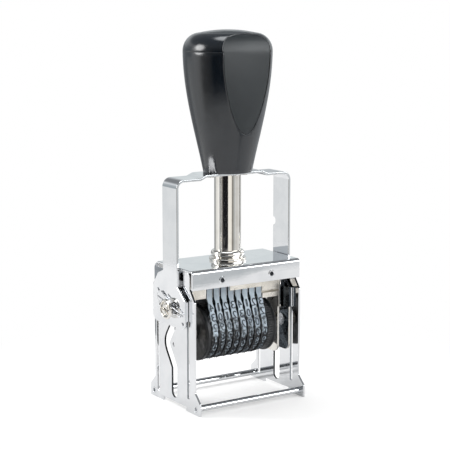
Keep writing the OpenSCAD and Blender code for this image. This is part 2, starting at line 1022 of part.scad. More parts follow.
// Torsion spring round each post: one leg goes up to the back, the other down to the front
module torsion_springs() {
    wire = 0.35;
    leg_wire = 0.3;
    coil_r = post_r + wire + 0.3;
    first = leg_out + wire + 0.15;
    last = leg_out + post_len - wire - 0.15;
    turns = 4;
    tilt = 14;
    back_leg = 14.4;
    front_leg = 13.6;
    color(steel)
        both_sides()
            translate([0, 0, pivot_z])
                rotate([tilt, 0, 0]) {
                    rotate([0, 90, 0])
                        rotate_extrude()
                            for (k = [0:turns - 1])
                                translate([coil_r, first + (last - first) * k / (turns - 1)])
                                    circle(wire);
                    translate([first, 0, coil_r])
                        rotate([-90, 0, 0])
                            cylinder(h = back_leg, r = leg_wire);
                    translate([last, 0, coil_r])
                        rotate([90, 0, 0])
                            cylinder(h = front_leg, r = leg_wire);
                }
}

//---------------------------------------------------------------- number unit

head_top = face_z - band_t;
head_low = face_z - head_h;
head_y = head_d / 2 - band_t;

module cheek() {
    top_y = head_y + 0.8;
    arm_y = cheek_arm_d / 2;
    corner = 3.5;
    head_drop = 5;
    end_z = pivot_z - cheek_reach;
    color(nickel)
        sheet_yz(cheek_in, cheek_t)
            difference() {
                union() {
                    dome_rect([-top_y, pivot_z - head_drop], [top_y, head_top], head_r);
                    round_rect([-arm_y, end_z], [arm_y, pivot_z], corner);
                }
                translate([0, pivot_z])
                    circle(pivot_r + run_gap);
                translate([0, wheel_z])
                    circle(shaft_r);
                for (y = [-bridge_screw_y, bridge_screw_y])
                    translate([y, bridge_screw_z])
                        circle(bridge_screw_r);
            }
}

module left_cheek() {
    mirror_x()
        cheek();
}

module right_cheek() {
    cheek();
}

bridge_screw_y = 4.2;
bridge_screw_r = 1;
bridge_screw_z = head_low + 3.4;
// Depth of the bridge's screw holes; the screws stop short of their ends
bridge_hole_d = 5;

stack_w = band_n * band_pitch;

// Bar that the bands run over, with a block at each end that keeps them in place
module print_bridge() {
    left = -stack_x + rim_t;
    right = -stack_x + stack_w;
    color(nickel)
        difference() {
            union() {
                sheet_yz(-cheek_in, 2 * cheek_in)
                    dome_rect([-head_y + fit_gap, head_low], [head_y - fit_gap, head_top - fit_gap],
                        head_r);
                sheet_yz(-cheek_in, cheek_in + left - fit_gap)
                    dome_rect([-head_y - 0.8, head_low], [head_y + 0.8, head_top], head_r);
                sheet_yz(right + fit_gap, cheek_in - right - fit_gap)
                    dome_rect([-head_y - 0.8, head_low], [head_y + 0.8, head_top], head_r);
            }
            both_sides()
                for (y = [-bridge_screw_y, bridge_screw_y])
                    bar_x(cheek_in - bridge_hole_d, bridge_hole_d + cut, y, bridge_screw_z,
                        bridge_screw_r);
        }
}

module bridge_screws() {
    screw_d = bridge_hole_d - 1;
    head_t = 0.5;
    color(steel)
        both_sides()
            for (y = [-bridge_screw_y, bridge_screw_y]) {
                bar_x(cheek_in - screw_d, screw_d + cheek_t, y, bridge_screw_z, bridge_screw_r);
                bar_x(cheek_out, head_t, y, bridge_screw_z, bridge_screw_r + 0.6);
            }
}

// Small block inside the right cheek, beside the last band
module index_block() {
    left = -stack_x + stack_w + 0.4;
    low = wheel_z + wheel_r + pass_gap;
    color(nickel)
        translate([left, -head_y - 0.9, low])
            cube([cheek_in - left, 3.8, head_low - 1 - low]);
}

// Pins on the cheeks that follow the guide slots
module guide_pins() {
    color(nickel)
        both_sides()
            bar_x(cheek_out, plate_out - cheek_out, 0, pivot_z - cam_arm, cam_r);
}

module wheel_shaft() {
    head_t = 0.5;
    color(steel) {
        bar_x(-cheek_out, 2 * cheek_out, 0, wheel_z, shaft_r);
        both_sides()
            bar_x(cheek_out, head_t, 0, wheel_z, shaft_r + 1);
    }
}

module ring_x(x, len, r, bore) {
    difference() {
        bar_x(x, len, 0, wheel_z, r);
        bar_x(x - cut, len + 2 * cut, 0, wheel_z, bore);
    }
}

drum_x = -stack_x + stack_w;

module shaft_spacers() {
    spacer_r = shaft_r + 1.5;
    disc_left = stack_x + disc_w + fit_gap;
    drum_right = drum_x + drum_w + fit_gap;
    color(nickel) {
        ring_x(-cheek_in, cheek_in - disc_left, spacer_r, shaft_r);
        ring_x(drum_right, cheek_in - drum_right, spacer_r, shaft_r);
    }
}

// Toothed circle for everything that is turned with a finger tip
module grip_circle(r) {
    grip_depth = 0.35;
    polygon([
        for (k = [0:2 * grip_n - 1]) let (
            a = 180 * k / grip_n,
            q = r - (k % 2) * grip_depth
        ) [q * cos(a), q * sin(a)]
    ]);
}

// Smooth disc at the left end of the stack, dished on its outer face
module end_disc() {
    edge = 0.5;
    dish = 0.5;
    color(black_plastic)
        translate([-stack_x - disc_w - fit_gap, 0, wheel_z])
            rotate([0, 90, 0])
                rotate_extrude()
                    polygon([
                        [shaft_r, dish],
                        [wheel_r * 0.45, dish],
                        [wheel_r * 0.8, 0],
                        [wheel_r - edge, 0],
                        [wheel_r, edge],
                        [wheel_r, disc_w - edge],
                        [wheel_r - edge, disc_w],
                        [shaft_r, disc_w]
                    ]);
}

module end_drum() {
    rim = 0.9;
    color(black_plastic)
        difference() {
            translate([drum_x + fit_gap, 0, wheel_z])
                rotate([0, 90, 0]) {
                    linear_extrude(drum_w - rim - fit_gap)
                        grip_circle(wheel_r - 0.3);
                    translate([0, 0, drum_w - rim - fit_gap])
                        cylinder(h = rim, r = wheel_r);
                }
            bar_x(drum_x - cut, drum_w + 2 * cut, 0, wheel_z, shaft_r);
        }
}

function band_x(k) = -stack_x + (k - 1) * band_pitch;

// Outline of a band's loop: round the wheel, straight to the bridge, and over it
module band_loop(out) {
    r = core_r + fit_gap + out;
    y = head_y + out;
    z = head_low - wheel_z;
    reach = sqrt(y * y + z * z);
    a = atan2(z, y) - acos(r / reach);
    translate([0, wheel_z]) {
        circle(r);
        polygon([
            [r * cos(a), r * sin(a)],
            [y, z],
            [-y, z],
            [-r * cos(a), r * sin(a)]
        ]);
    }
    dome_rect([-y, head_low - 0.01], [y, head_top + out], head_r + out);
}

module band(k) {
    color(band_rubber)
        sheet_yz(band_x(k) + rim_t + fit_gap, band_w)
            difference() {
                band_loop(band_t);
                band_loop(0);
            }
}

module setting_wheel(k) {
    color(black_plastic)
        difference() {
            union() {
                translate([band_x(k), 0, wheel_z])
                    rotate([0, 90, 0])
                        linear_extrude(rim_t)
                            grip_circle(wheel_r);
                bar_x(band_x(k) + rim_t, band_pitch - rim_t - fit_gap, 0, wheel_z, core_r);
            }
            bar_x(band_x(k) - cut, band_pitch + 2 * cut, 0, wheel_z, shaft_r + run_gap);
        }
}

left_side_plate();
right_side_plate();
cover();
cover_screws();
tray_stop();
front_cross_rod();
back_cross_rod();
left_tray_rail();
right_tray_rail();
stem_bush();
stem_tube();
stem_collar();
return_spring();
pad_tray();
ink_pad();
handle_body();
handle_crown();
handle_top_disc();
handle_front_panel();
guide_rod();
yoke();
yoke_screws();
yoke_rivets();
left_carrier();
right_carrier();
pivot_pins();
spring_posts();
torsion_springs();
left_cheek();
right_cheek();
print_bridge();
bridge_screws();
index_block();
guide_pins();
wheel_shaft();
shaft_spacers();
end_disc();
end_drum();
band(1);  // band_1
band(2);  // band_2
band(3);  // band_3
band(4);  // band_4
band(5);  // band_5
band(6);  // band_6
band(7);  // band_7
band(8);  // band_8
setting_wheel(1);  // setting_wheel_1
setting_wheel(2);  // setting_wheel_2
setting_wheel(3);  // setting_wheel_3
setting_wheel(4);  // setting_wheel_4
setting_wheel(5);  // setting_wheel_5
setting_wheel(6);  // setting_wheel_6
setting_wheel(7);  // setting_wheel_7
setting_wheel(8);  // setting_wheel_8
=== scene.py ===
import math

import bmesh
import bpy
from mathutils import Matrix, Vector


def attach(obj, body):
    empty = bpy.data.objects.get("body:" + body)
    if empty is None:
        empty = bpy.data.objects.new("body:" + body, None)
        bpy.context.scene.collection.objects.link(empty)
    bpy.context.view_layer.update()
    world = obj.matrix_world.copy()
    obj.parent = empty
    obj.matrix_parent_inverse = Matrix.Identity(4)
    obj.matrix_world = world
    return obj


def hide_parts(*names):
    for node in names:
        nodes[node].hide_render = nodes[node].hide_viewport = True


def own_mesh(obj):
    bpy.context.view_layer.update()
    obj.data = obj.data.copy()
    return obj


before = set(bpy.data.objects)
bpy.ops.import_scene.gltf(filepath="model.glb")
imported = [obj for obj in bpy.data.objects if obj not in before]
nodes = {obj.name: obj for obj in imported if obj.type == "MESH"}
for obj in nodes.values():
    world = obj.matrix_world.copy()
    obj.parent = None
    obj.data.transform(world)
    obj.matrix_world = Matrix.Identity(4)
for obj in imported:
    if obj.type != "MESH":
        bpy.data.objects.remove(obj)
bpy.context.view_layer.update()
mm = 0.001
print("frame loaded:", len(nodes), "nodes")


# a socket of a shader node that can stand in a Python sum
class Wire:
    def __init__(self, finish, socket):
        self.finish = finish
        self.socket = socket

    def maths(self, operation, *values):
        return self.finish.node("ShaderNodeMath", {"operation": operation}, values)

    def __add__(self, other):
        return self.maths("ADD", self, other)

    def __radd__(self, other):
        return self.maths("ADD", other, self)

    def __sub__(self, other):
        return self.maths("SUBTRACT", self, other)

    def __rsub__(self, other):
        return self.maths("SUBTRACT", other, self)

    def __mul__(self, other):
        return self.maths("MULTIPLY", self, other)

    def __rmul__(self, other):
        return self.maths("MULTIPLY", other, self)

    def __truediv__(self, other):
        return self.maths("DIVIDE", self, other)


class Finish:
    def __init__(self, name, world=False):
        owner = bpy.data.worlds.new(name) if world else bpy.data.materials.new(name)
        owner.use_nodes = True
        self.owner = owner
        self.tree = owner.node_tree
        self.shader = self.tree.nodes.get("Principled BSDF")
        self.output = self.tree.nodes.get("World Output" if world else "Material Output")

    def plug(self, value, socket):
        if isinstance(value, Wire):
            self.tree.links.new(value.socket, socket)
        else:
            socket.default_value = value

    # any node: its type, its settings, then the values or links of its sockets
    def node(self, kind, settings=None, sockets=None, output=0):
        made = self.tree.nodes.new(kind)
        for key, value in (settings or {}).items():
            if key == "stops":
                self.setStops(made.color_ramp, value)
            else:
                setattr(made, key, value)
        pairs = sockets.items() if isinstance(sockets, dict) else enumerate(sockets or [])
        for key, value in pairs:
            self.plug(value, made.inputs[key])
        return Wire(self, made.outputs[output])

    def setStops(self, ramp, stops):
        while len(ramp.elements) < len(stops):
            ramp.elements.new(1.0)
        for element, (place, colour) in zip(ramp.elements, stops):
            element.position = place
            element.color = (*colour, 1)

    def fixed(self, **sockets):
        for key, value in sockets.items():
            self.shader.inputs[key.replace("_", " ")].default_value = value

    def varying(self, **sockets):
        for key, wire in sockets.items():
            self.tree.links.new(wire.socket, self.shader.inputs[key.replace("_", " ")])

    def place(self):
        return self.node("ShaderNodeTexCoord", output="Object")

    # one coordinate of a place, of the piece's own where none is given
    def axis(self, letter, place=None):
        return self.node("ShaderNodeSeparateXYZ", None, [place or self.place()], output=letter)

    def noise(self, scale, detail, roughness=0.55, stretch=None):
        where = self.place()
        if stretch:
            where = self.node("ShaderNodeMapping", None, {"Vector": where, "Scale": stretch})
        return self.node("ShaderNodeTexNoise", None,
                         {"Vector": where, "Scale": scale, "Detail": detail,
                          "Roughness": roughness})

    def span(self, wire, low, high, toLow=0.0, toHigh=1.0):
        return self.node("ShaderNodeMapRange", {"interpolation_type": "SMOOTHSTEP"},
                         [wire, low, high, toLow, toHigh])

    def mixed(self, factor, first, second):
        return self.node("ShaderNodeMix", {"data_type": "RGBA"},
                         {0: factor, 6: first, 7: second}, output=2)

    def bump(self, height, strength, distance):
        return self.node("ShaderNodeBump", None,
                         {"Strength": strength, "Distance": distance, "Height": height})

    def glow(self, strength):
        return self.node("ShaderNodeEmission", None,
                         {"Color": shade(1, 1, 1), "Strength": strength})

    # the three things that a look gives: its tone, its roughness and its fine grain
    def tone(self, look):
        cloud = self.noise(*look["cloud"])
        return self.mixed(self.span(cloud, *look["blend"]), *look["tones"])

    def gloss(self, look):
        return self.span(self.noise(*look["polish"]), *look["wander"], *look["rough"])

    def grain(self, look):
        return self.bump(self.noise(*look["grain"]), *look["bump"])


def shade(red, green, blue):
    return (red, green, blue, 1.0)


# Each look blends two tones where the cloud lies between the blend's values, and its roughness
# wanders between two values in the same way. Cloud, polish and grain are noises: their scale,
# detail, roughness and stretch. A bump is its strength and its depth in metres.
looks = {
    "plated": {
        "material": "platedSteel", "fixed": {"Metallic": 1.0},
        "tones": (shade(0.87, 0.88, 0.895), shade(0.81, 0.825, 0.845)),
        "cloud": (90, 4), "blend": (0.42, 0.68),
        "polish": (60, 2, 0.55, (1, 1, 14)), "wander": (0.35, 0.7), "rough": (0.035, 0.08),
        "grain": (420, 3), "bump": (0.02, 0.0002),
    },
    "nickel": {
        "material": "nickelPlate", "fixed": {"Metallic": 1.0},
        "tones": (shade(0.86, 0.835, 0.79), shade(0.78, 0.75, 0.70)),
        "cloud": (140, 4), "blend": (0.45, 0.7),
        "polish": (300, 3, 0.55, (6, 6, 1)), "wander": (0.35, 0.7), "rough": (0.05, 0.12),
        "grain": (600, 2), "bump": (0.03, 0.0002),
    },
    "satin": {
        "material": "satinNickel", "fixed": {"Metallic": 1.0},
        "tones": (shade(0.86, 0.82, 0.75), shade(0.72, 0.68, 0.61)),
        "cloud": (120, 3), "blend": (0.4, 0.7),
        "polish": (700, 3, 0.55, (1, 9, 9)), "wander": (0.3, 0.7), "rough": (0.24, 0.4),
        "grain": (700, 3, 0.55, (1, 9, 9)), "bump": (0.12, 0.0001),
    },
    "wire": {
        "material": "springWire", "fixed": {"Metallic": 1.0},
        "tones": (shade(0.55, 0.56, 0.58), shade(0.36, 0.36, 0.37)),
        "cloud": (500, 3), "blend": (0.4, 0.65),
        "polish": (900, 2), "wander": (0.3, 0.7), "rough": (0.2, 0.38),
    },
    "black": {
        "material": "glossBlack",
        "fixed": {"IOR": 1.62, "Coat_Weight": 0.35, "Coat_Roughness": 0.17},
        "tones": (shade(0.0035, 0.007, 0.0118), shade(0.006, 0.010, 0.0155)),
        "cloud": (45, 5), "blend": (0.5, 0.75),
        "polish": (160, 4), "wander": (0.35, 0.7), "rough": (0.17, 0.27),
        "grain": (260, 2), "bump": (0.035, 0.0004),
    },
    "panel": {
        "material": "panelGrey", "fixed": {"IOR": 1.55},
        "tones": (shade(0.011, 0.015, 0.018), shade(0.016, 0.020, 0.023)),
        "cloud": (60, 3), "blend": (0.4, 0.7),
        "polish": (2600, 2), "wander": (0.3, 0.7), "rough": (0.36, 0.5),
        "grain": (2600, 2), "bump": (0.12, 0.00006),
    },
    "wheel": {
        "material": "wheelBlack",
        "tones": (shade(0.010, 0.011, 0.013), shade(0.045, 0.047, 0.052)),
        "cloud": (300, 5), "blend": (0.5, 0.72),
        "polish": (500, 3), "wander": (0.3, 0.7), "rough": (0.3, 0.55),
        "grain": (300, 5), "bump": (0.12, 0.0002),
    },
    # clean rubber above, black with ink below, with a ragged edge between
    "band": {
        "material": "bandRubber",
        "tones": (shade(0.62, 0.72, 0.80), shade(0.44, 0.52, 0.60)),
        "cloud": (130, 3), "blend": (0.4, 0.75),
        "polish": (420, 5, 0.7), "wander": (0.3, 0.7), "rough": (0.42, 0.62),
        "grain": (900, 3), "bump": (0.15, 0.0001),
        "ink": shade(0.010, 0.011, 0.014), "inkZ": (33 * mm, 44 * mm),
        "blot": (420, 5, 0.7), "blotReach": 30 * mm, "patch": (260, 2, 0.5), "patchReach": 34 * mm,
    },
    # inked digits on the clean rubber, and lower down digits that are rubbed light
    "digit": {
        "material": "digitInk",
        "tones": (shade(0.012, 0.022, 0.035), shade(0.10, 0.14, 0.19)),
        "cloud": (900, 4), "blend": (0.45, 0.7),
        "polish": (900, 4), "wander": (0.3, 0.7), "rough": (0.35, 0.6),
        "rubbedTones": (shade(0.42, 0.50, 0.57), shade(0.03, 0.036, 0.045)),
        "rubbedBlend": (0.35, 0.6), "rubbedTop": (36 * mm, 41 * mm),
        "rubbedFoot": (22 * mm, 27 * mm), "ragged": (300, 3), "raggedReach": 12 * mm,
    },
    # the walls of the slots are painted dark as painted shade, paler in the narrow front slots
    # below the bend
    "slot": {
        "material": "slotShade", "fixed": {"Metallic": 1.0},
        "tones": (shade(0.022, 0.024, 0.028), shade(0.05, 0.053, 0.058)),
        "cloud": (400, 3), "blend": (0.4, 0.65),
        "polish": (700, 2), "wander": (0.3, 0.7), "rough": (0.3, 0.5),
        "clean": shade(0.36, 0.38, 0.40), "cleanY": (-11 * mm, -10.5 * mm),
        "cleanZ": (36 * mm, 46 * mm),
    },
    # dark blued steel for the carriers, and painted shade on the cheeks' sides that face the side
    # plates
    "bluedAndShade": {
        "material": "bluedSteelAndShade", "fixed": {"Metallic": 1.0},
        "tones": (shade(0.045, 0.055, 0.065), shade(0.10, 0.115, 0.13)),
        "cloud": (160, 4), "blend": (0.4, 0.7),
        "polish": (500, 3), "wander": (0.3, 0.7), "rough": (0.22, 0.36),
        "grain": (500, 2), "bump": (0.04, 0.0001),
    },
    # the setting rim: fine ribs all round its axis
    "ribbed": {
        "material": "ribbedBlack",
        "tones": (shade(0.012, 0.013, 0.015), shade(0.05, 0.05, 0.054)),
        "cloud": (300, 5), "blend": (0.5, 0.72),
        "polish": (300, 5), "wander": (0.3, 0.7), "rough": (0.34, 0.5),
        "axisZ": 34.3 * mm, "ribs": 64, "bump": (0.5, 0.0004),
    },
    "tray": {
        "material": "trayPlastic",
        "tones": (shade(0.020, 0.021, 0.023), shade(0.032, 0.033, 0.036)),
        "cloud": (90, 3), "blend": (0.4, 0.7),
        "polish": (800, 2), "wander": (0.3, 0.7), "rough": (0.4, 0.6),
        "grain": (1500, 2), "bump": (0.2, 0.00008),
    },
    "felt": {
        "material": "inkFelt", "fixed": {"Sheen_Weight": 0.3, "Sheen_Roughness": 0.6},
        "tones": (shade(0.006, 0.006, 0.008), shade(0.02, 0.02, 0.024)),
        "cloud": (1800, 4, 0.8), "blend": (0.35, 0.7),
        "polish": (1800, 4, 0.8), "wander": (0.3, 0.7), "rough": (0.75, 0.95),
        "grain": (1800, 4, 0.8), "bump": (0.5, 0.0002),
    },
}


def plainFinish(f, look):
    f.varying(Base_Color=f.tone(look), Roughness=f.gloss(look))
    if "grain" in look:
        f.varying(Normal=f.grain(look))


def bandRubber(f, look):
    blot = (f.noise(*look["blot"]) - 0.5) * look["blotReach"]
    patch = (f.noise(*look["patch"]) - 0.5) * look["patchReach"]
    inked = f.span(f.axis("Z") + blot + patch, *look["inkZ"], 1.0, 0.0)
    f.varying(Base_Color=f.mixed(inked, f.tone(look), look["ink"]),
              Roughness=f.gloss(look), Normal=f.grain(look))


def digitInk(f, look):
    height = f.axis("Z") + (f.noise(*look["ragged"]) - 0.5) * look["raggedReach"]
    rubbed = f.span(height, *look["rubbedTop"], 1.0, 0.0) * f.span(height, *look["rubbedFoot"])
    light = f.tone({"cloud": look["cloud"], "blend": look["rubbedBlend"],
                    "tones": look["rubbedTones"]})
    f.varying(Base_Color=f.mixed(rubbed, f.tone(look), light), Roughness=f.gloss(look))


def slotShade(f, look):
    # painted shade on the slot walls, paler low down in the narrow front slots
    clean = f.span(f.axis("Y"), *look["cleanY"], 1, 0) * f.span(f.axis("Z"), *look["cleanZ"], 1, 0)
    f.varying(Base_Color=f.mixed(clean, f.tone(look), look["clean"]), Roughness=f.gloss(look))


def ribbedBlack(f, look):
    turn = f.node("ShaderNodeMath", {"operation": "ARCTAN2"},
                  [f.axis("Z") - look["axisZ"], f.axis("Y")])
    ribs = f.node("ShaderNodeMath", {"operation": "SINE"}, [turn * look["ribs"]])
    f.varying(Base_Color=f.tone(look), Roughness=f.gloss(look),
              Normal=f.bump(ribs, *look["bump"]))


ownWays = {"band": bandRubber, "digit": digitInk, "slot": slotShade, "ribbed": ribbedBlack}
finishes = {}
for lookName, lookFacts in looks.items():
    newFinish = Finish(lookFacts["material"])
    newFinish.fixed(**lookFacts.get("fixed", {}))
    ownWays.get(lookName, plainFinish)(newFinish, lookFacts)
    finishes[lookName] = newFinish.owner
print("finishes made:", len(finishes))

nodeFinish = {
    "plated": ["left_side_plate", "right_side_plate", "cover", "yoke", "front_cross_rod",
               "back_cross_rod", "yoke_rivets"],
    "nickel": ["stem_tube", "stem_collar", "cover_screws", "pivot_pins", "spring_posts",
               "guide_pins", "left_cheek", "right_cheek", "yoke_screws"],
    "satin": ["tray_stop", "print_bridge", "index_block", "shaft_spacers"],
    "wire": ["left_tray_rail", "right_tray_rail", "stem_bush", "return_spring", "guide_rod",
             "torsion_springs", "bridge_screws", "wheel_shaft"],
    "bluedAndShade": ["left_carrier", "right_carrier"],
    "black": ["handle_body", "handle_crown", "handle_top_disc"],
    "panel": ["handle_front_panel"],
    "wheel": ["end_disc", "end_drum"] + [f"setting_wheel_{k}" for k in range(1, 9)],
    "band": [f"band_{k}" for k in range(1, 9)],
    "tray": ["pad_tray"],
    "felt": ["ink_pad"],
}


def dress(obj, material):
    obj.data.materials.clear()
    obj.data.materials.append(material)


for finishName, members in nodeFinish.items():
    for member in members:
        dress(nodes[member], finishes[finishName])
print("nodes dressed")


def only(obj):
    bpy.ops.object.select_all(action="DESELECT")
    obj.select_set(True)
    bpy.context.view_layer.objects.active = obj


def edit(obj, kind="FACE"):
    only(obj)
    bpy.ops.object.mode_set(mode="EDIT")
    bpy.ops.mesh.select_mode(type=kind)
    bpy.ops.mesh.select_all(action="DESELECT")


def editAll(obj, kind="FACE"):
    edit(obj, kind)
    bpy.ops.mesh.select_all(action="SELECT")


def leave():
    bpy.ops.object.mode_set(mode="OBJECT")


# selects, in edit mode, the faces that pass a test of their middle and normal
def pickFaces(obj, test):
    form = bmesh.from_edit_mesh(obj.data)
    for face in form.faces:
        face.select_set(bool(test(face.calc_center_median(), face.normal, face)))
    form.select_flush_mode()
    bmesh.update_edit_mesh(obj.data)


# the same for edges, by their two ends
def pickEdges(obj, test):
    form = bmesh.from_edit_mesh(obj.data)
    for edge in form.edges:
        edge.select_set(bool(test(*[vert.co for vert in edge.verts])))
    bmesh.update_edit_mesh(obj.data)


# gives the picked faces the second material slot, to find them again
def markPicked(obj):
    form = bmesh.from_edit_mesh(obj.data)
    for face in form.faces:
        face.material_index = int(face.select)
    bmesh.update_edit_mesh(obj.data)


def settle(obj, name):
    only(obj)
    bpy.ops.object.transform_apply(location=True, rotation=True, scale=True)
    obj.name = name
    obj.data.name = name


# turns a shape about the Z axis so that it points to the right, or to the left with side -1
def layAcross(obj, name, x, z=0.0, side=1):
    obj.matrix_world = Matrix(((0, 0, side, x), (1, 0, 0, 0), (0, 1, 0, z), (0, 0, 0, 1)))
    settle(obj, name)


def weld(obj, distance):
    editAll(obj, "VERT")
    bpy.ops.mesh.remove_doubles(threshold=distance)
    leave()


def faceOut(obj):
    editAll(obj)
    bpy.ops.mesh.normals_make_consistent(inside=False)
    leave()


def applyAll(obj):
    only(obj)
    for modifier in list(obj.modifiers):
        bpy.ops.object.modifier_apply(modifier=modifier.name)


def roundEdges(obj, width, segments=2, angle=30):
    bevel = obj.modifiers.new("edges", "BEVEL")
    bevel.width = width
    bevel.segments = segments
    bevel.limit_method = "ANGLE"
    bevel.angle_limit = math.radians(angle)
    bevel.use_clamp_overlap = False
    bevel.harden_normals = False
    applyAll(obj)


def cutAway(obj, cutter):
    cut = obj.modifiers.new("cut", "BOOLEAN")
    cut.operation = "DIFFERENCE"
    cut.object = cutter
    cut.solver = "EXACT"
    applyAll(obj)
    bpy.data.objects.remove(cutter)


def smooth(obj, angle, keep=False):
    only(obj)
    bpy.ops.object.shade_smooth_by_angle(angle=math.radians(angle), keep_sharp_edges=keep)


# big flat faces keep their own normals beside the rounded edges
def weighNormals(obj):
    weigh = obj.modifiers.new("flatFaces", "WEIGHTED_NORMAL")
    weigh.keep_sharp = True
    weigh.weight = 100
    applyAll(obj)


# a second finish for the faces that pass a test of their middle and normal
def giveFaces(obj, finish, test):
    obj.data.materials.append(finishes[finish])
    last = len(obj.data.materials) - 1
    for face in obj.data.polygons:
        if test(face.center, face.normal):
            face.material_index = last


def copyOf(obj, name):
    made = obj.copy()
    made.data = obj.data.copy()
    bpy.context.scene.collection.objects.link(made)
    made.name = name
    made.data.name = name
    return made


# a copy of a solid of the frame, free of its parent and of its notes
def solidCopy(node, name):
    made = copyOf(nodes[node], name)
    made.parent = None
    made.hide_render = made.hide_viewport = False
    for key in list(made.keys()):
        del made[key]
    settle(made, name)
    return made


def joined(pieces):
    bpy.ops.object.select_all(action="DESELECT")
    for piece in pieces:
        piece.select_set(True)
    bpy.context.view_layer.objects.active = pieces[0]
    bpy.ops.object.join()
    return pieces[0]


def hand(obj, finish, body, slot, *replaced):
    dress(obj, finishes[finish])
    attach(obj, body)
    if replaced:
        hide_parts(*replaced)


# a round shape about the Z axis: a circle, extruded and sized from level to level
def turned(name, levels, sides, caps=True):
    radius, height = levels[0]
    bpy.ops.mesh.primitive_circle_add(vertices=sides, radius=radius, location=(0, 0, height))
    obj = bpy.context.object
    settle(obj, name)
    editAll(obj, "EDGE")
    if caps:
        bpy.ops.mesh.edge_face_add()
        bpy.ops.mesh.select_mode(type="EDGE")
    for (wasR, wasZ), (nextR, nextZ) in zip(levels, levels[1:]):
        bpy.ops.mesh.extrude_edges_move(TRANSFORM_OT_translate={"value": (0, 0, nextZ - wasZ)})
        share = nextR / wasR
        bpy.ops.transform.resize(value=(share, share, 1), center_override=(0, 0, nextZ))
    if caps:
        bpy.ops.mesh.edge_face_add()
    bpy.ops.mesh.select_all(action="SELECT")
    bpy.ops.mesh.normals_make_consistent(inside=False)
    leave()
    return obj


# levels that are written in millimetres
def inMetres(levels):
    return [(radius * mm, height * mm) for radius, height in levels]


# the handle: a turned grip with a flat front for the panel and a sunk disc on top
grip = {
    "lowZ": 110.1 * mm, "height": 56.6 * mm, "lowR": 11.6 * mm, "wideR": 21.1 * mm,
    "footPull": (3 * mm, 0.28), "headPull": (-0.2 * mm, 0.635), "sideSteps": 26, "sides": 128,
    "crown": 8.6 * mm, "crownTurns": range(6, 90, 6), "lip": 0.4 * mm, "lipDrop": 0.02 * mm,
    "discR": 13.4 * mm, "discGap": 0.12 * mm, "discSink": 2.0 * mm, "discDome": 1.45 * mm,
    "discSteps": 16, "facetY": 16.5 * mm, "facetLean": 1.3 * mm,
    "crownLeans": (9.5, 12, 15, 20, 25), "crownStep": 1.75 * mm,
    "panelRim": 0.38 * mm, "panelDepth": 0.9 * mm, "panelGap": 0.1 * mm,
    "boreR": 6.65 * mm, "boreTop": 165 * mm, "joint": 0.02 * mm,
    "edge": 0.13 * mm, "panelEdge": 0.18 * mm, "discEdge": 0.15 * mm,
    "grooveAngles": (-20, 200), "grooveR": 7.0 * mm, "grooveD": 0.17 * mm,
    "grooveLong": 30 * mm, "grooveLean": 14.5,
    "cutFine": 1e-6, "near": 0.02 * mm,
}
grip["crease"] = grip["lowZ"] + grip["height"]
grip["top"] = grip["crease"] + grip["crown"]


# the side's outline is one curve between the foot and the crease, drawn by two pulls
def gripSide(t):
    u = 1 - t
    (footOut, footUp), (headOut, headUp) = grip["footPull"], grip["headPull"]
    pull = [(grip["lowR"], 0), (grip["lowR"] + footOut, grip["height"] * footUp),
            (grip["wideR"] + headOut, grip["height"] * headUp), (grip["wideR"], grip["height"])]
    share = (u ** 3, 3 * u * u * t, 3 * u * t * t, t ** 3)
    return (sum(s * p[0] for s, p in zip(share, pull)),
            grip["lowZ"] + sum(s * p[1] for s, p in zip(share, pull)))


def gripLevels():
    steps = grip["sideSteps"]
    levels = [(grip["boreR"], grip["boreTop"]), (grip["boreR"], grip["lowZ"])]
    levels += [gripSide(k / steps) for k in range(steps + 1)]
    inner = grip["discR"] - grip["lip"]
    for degrees in grip["crownTurns"]:
        a = math.radians(degrees)
        levels.append((inner + (grip["wideR"] - inner) * math.cos(a),
                       grip["crease"] + grip["crown"] * math.sin(a)))
    rim = grip["discR"] + grip["discGap"]
    return levels + [(rim, grip["top"] - grip["lipDrop"]), (rim, grip["top"] - grip["discSink"])]


# the flat front, then strip by strip the part of the crown that rolls back
def frontPlanes():
    point = Vector((0, -grip["facetY"], grip["crease"]))
    planes = [(point, Vector((0, -grip["height"], -grip["facetLean"])).normalized())]
    for degrees in grip["crownLeans"]:
        lean = math.radians(degrees)
        planes.append((point, Vector((0, -math.cos(lean), math.sin(lean)))))
        point = point + Vector((0, math.tan(lean), 1)) * grip["crownStep"]
    return planes


def makeGrip():
    whole = turned("gripShell", gripLevels(), grip["sides"])
    planes = frontPlanes()
    edit(whole)
    for spot, outward in planes:
        bpy.ops.mesh.select_all(action="SELECT")
        # a fine threshold, or the cut melts the strips together
        bpy.ops.mesh.bisect(plane_co=spot, plane_no=outward, use_fill=True, clear_outer=True,
                            threshold=grip["cutFine"])

    def onFacet(middle, normal, face):
        return any(normal.dot(outward) > 0.9999 and
                   abs((middle - spot).dot(outward)) < grip["near"] for spot, outward in planes)

    pickFaces(whole, onFacet)
    bpy.ops.mesh.inset(thickness=grip["panelRim"], depth=0)
    markPicked(whole)
    bpy.ops.mesh.duplicate()
    bpy.ops.mesh.separate(type="SELECTED")
    leave()
    panel = [obj for obj in bpy.context.selected_objects if obj != whole][0]
    # the faces inside the rim go in and leave the pocket of the panel
    edit(whole)
    pickFaces(whole, lambda middle, normal, face: face.material_index == 1)
    bpy.ops.mesh.extrude_region_move(
        TRANSFORM_OT_translate={"value": (0, grip["panelDepth"], 0)})
    leave()
    for piece in (whole, panel):
        for face in piece.data.polygons:
            face.material_index = 0
    return whole, panel


